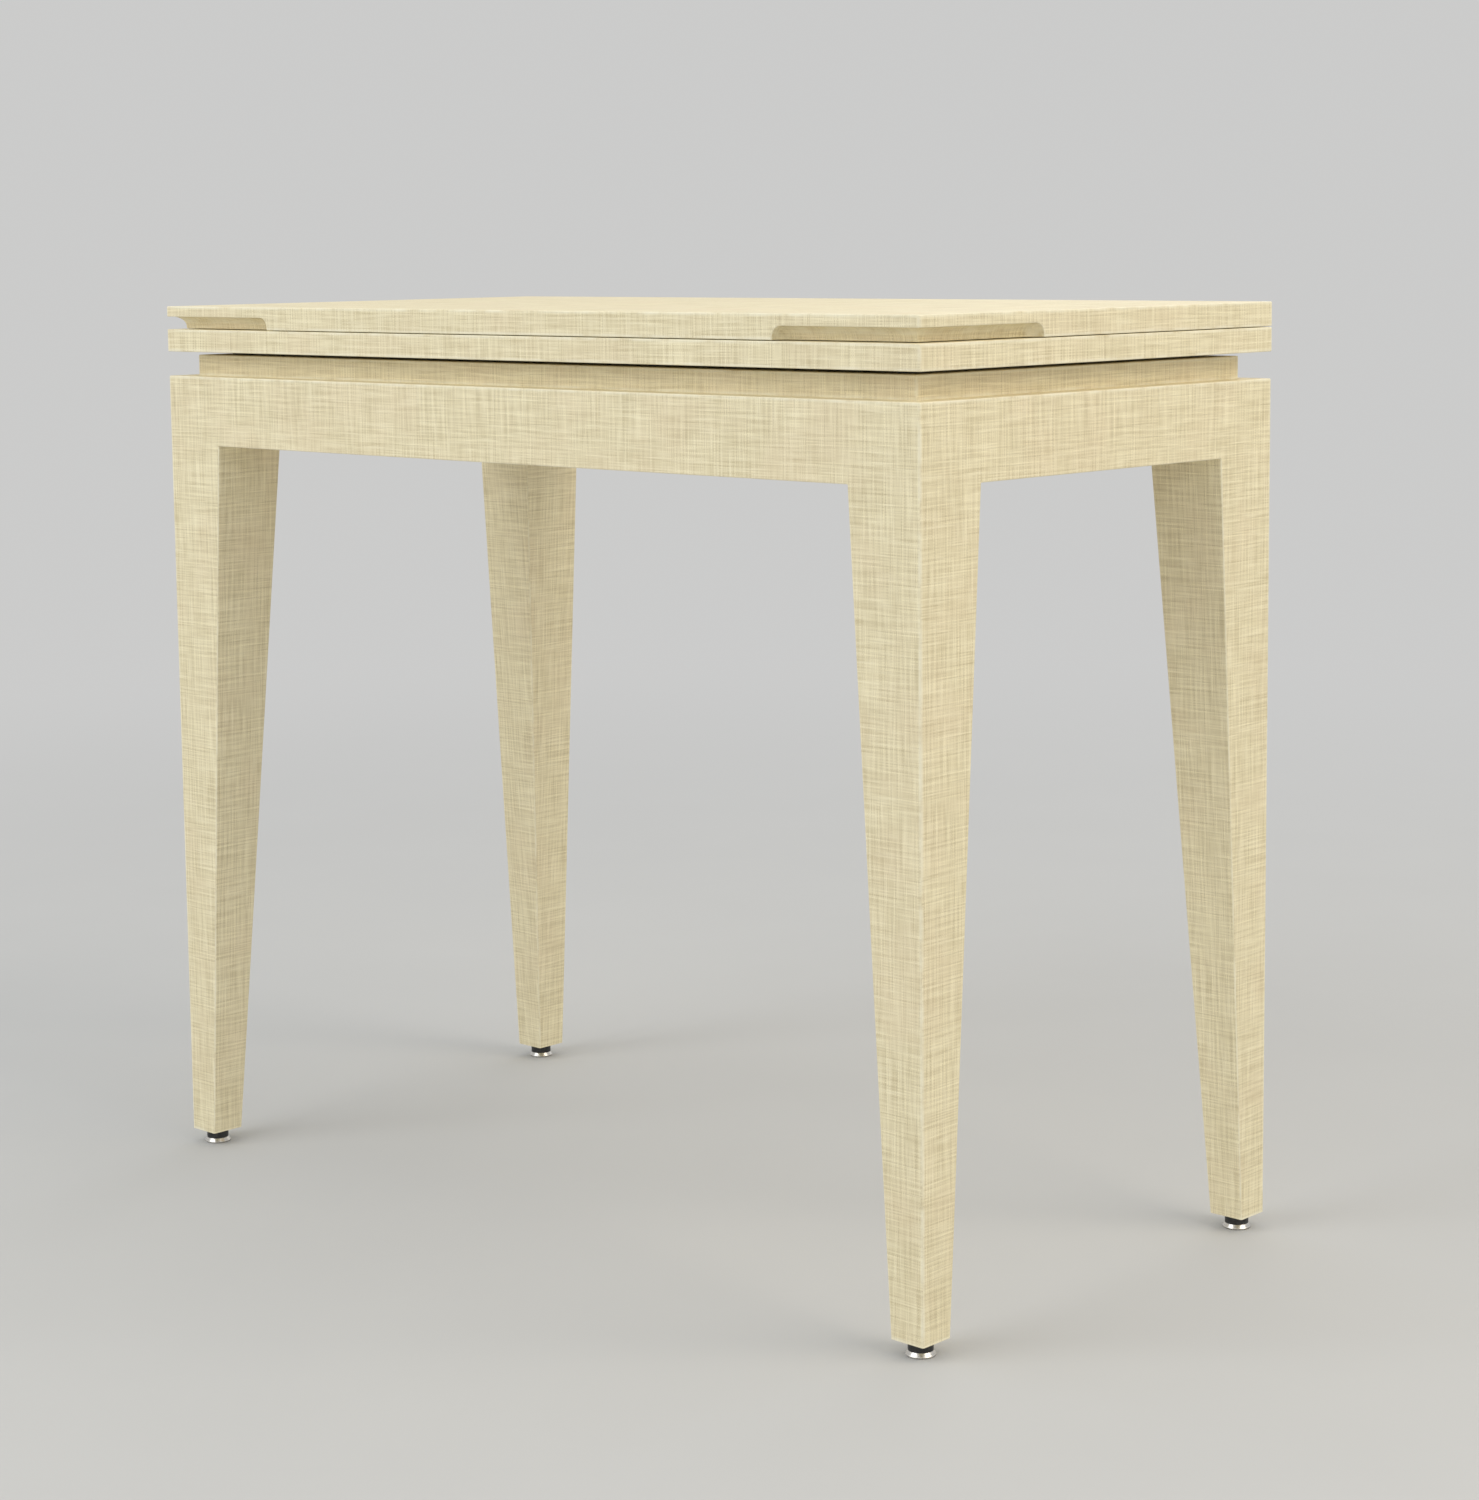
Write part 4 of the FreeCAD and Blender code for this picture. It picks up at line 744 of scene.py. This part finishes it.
def hang_lamp(name, place, side, power, colour):
    """A square soft lamp at a place, turned to shine at the aim."""
    lamp = bpy.data.lights.new(name, "AREA")
    lamp.shape = "SQUARE"
    lamp.size = side
    lamp.energy = power
    lamp.color = colour
    hung = bpy.data.objects.new(name, lamp)
    hung.location = place
    hung.rotation_euler = (Vector(LAMP_AIM) - Vector(place)).to_track_quat("-Z", "Y").to_euler()
    hung.visible_camera = False
    bpy.context.scene.collection.objects.link(hung)


hang_lamp("lamp_front", place=(-0.9, -2.8, 2.6), side=2.4, power=41.0, colour=(0.96, 0.985, 1.0))
hang_lamp("lamp_side", place=(2.6, 0.6, 2.65), side=2.2, power=39.0, colour=(1.0, 0.91, 0.77))
hang_lamp("lamp_back", place=(-1.0, 3.2, 2.4), side=2.8, power=14.0, colour=(1.0, 0.99, 0.97))

sky = bpy.data.worlds.new("white_sky")
sky.use_nodes = True
sky.node_tree.nodes.clear()
glow = put(sky.node_tree, "Background", {"Color": SKY_WHITE, "Strength": SKY_STRENGTH}).outputs[0]
surround = put(sky.node_tree, "Background", {"Color": SURROUND, "Strength": 1.0}).outputs[0]
seen = put(sky.node_tree, "MixShader", {0: seen_rays(sky.node_tree), 1: glow, 2: surround})
put(sky.node_tree, "OutputWorld", {"Surface": seen.outputs[0]})
bpy.context.scene.world = sky

# Camera: about two metres off the front right corner, a few centimetres higher than the top, and looking
# slightly down. It has a long lens, shifted a little downwards to bring the whole table into the picture.

CAMERA_PLACE = (1.8464, -1.8919, 0.8060)
CAMERA_TURN = 43.473  # degrees
CAMERA_DIP = -6.931
CAMERA_LEAN = -0.614
SENSOR_WIDTH = 36.0  # millimetres
LENS_LENGTH = 75.73
LENS_SHIFT = -0.085

lens = bpy.data.cameras.new("camera")
lens.sensor_width = SENSOR_WIDTH
lens.lens = LENS_LENGTH
lens.shift_y = LENS_SHIFT
camera = bpy.data.objects.new("camera", lens)
camera.matrix_world = (
    Matrix.Translation(CAMERA_PLACE)
    @ Matrix.Rotation(math.radians(CAMERA_TURN), 4, "Z")
    @ Matrix.Rotation(math.radians(90 + CAMERA_DIP), 4, "X")
    @ Matrix.Rotation(math.radians(CAMERA_LEAN), 4, "Z")
)
bpy.context.scene.collection.objects.link(camera)
bpy.context.scene.camera = camera
bpy.context.scene.view_settings.view_transform = "Standard"
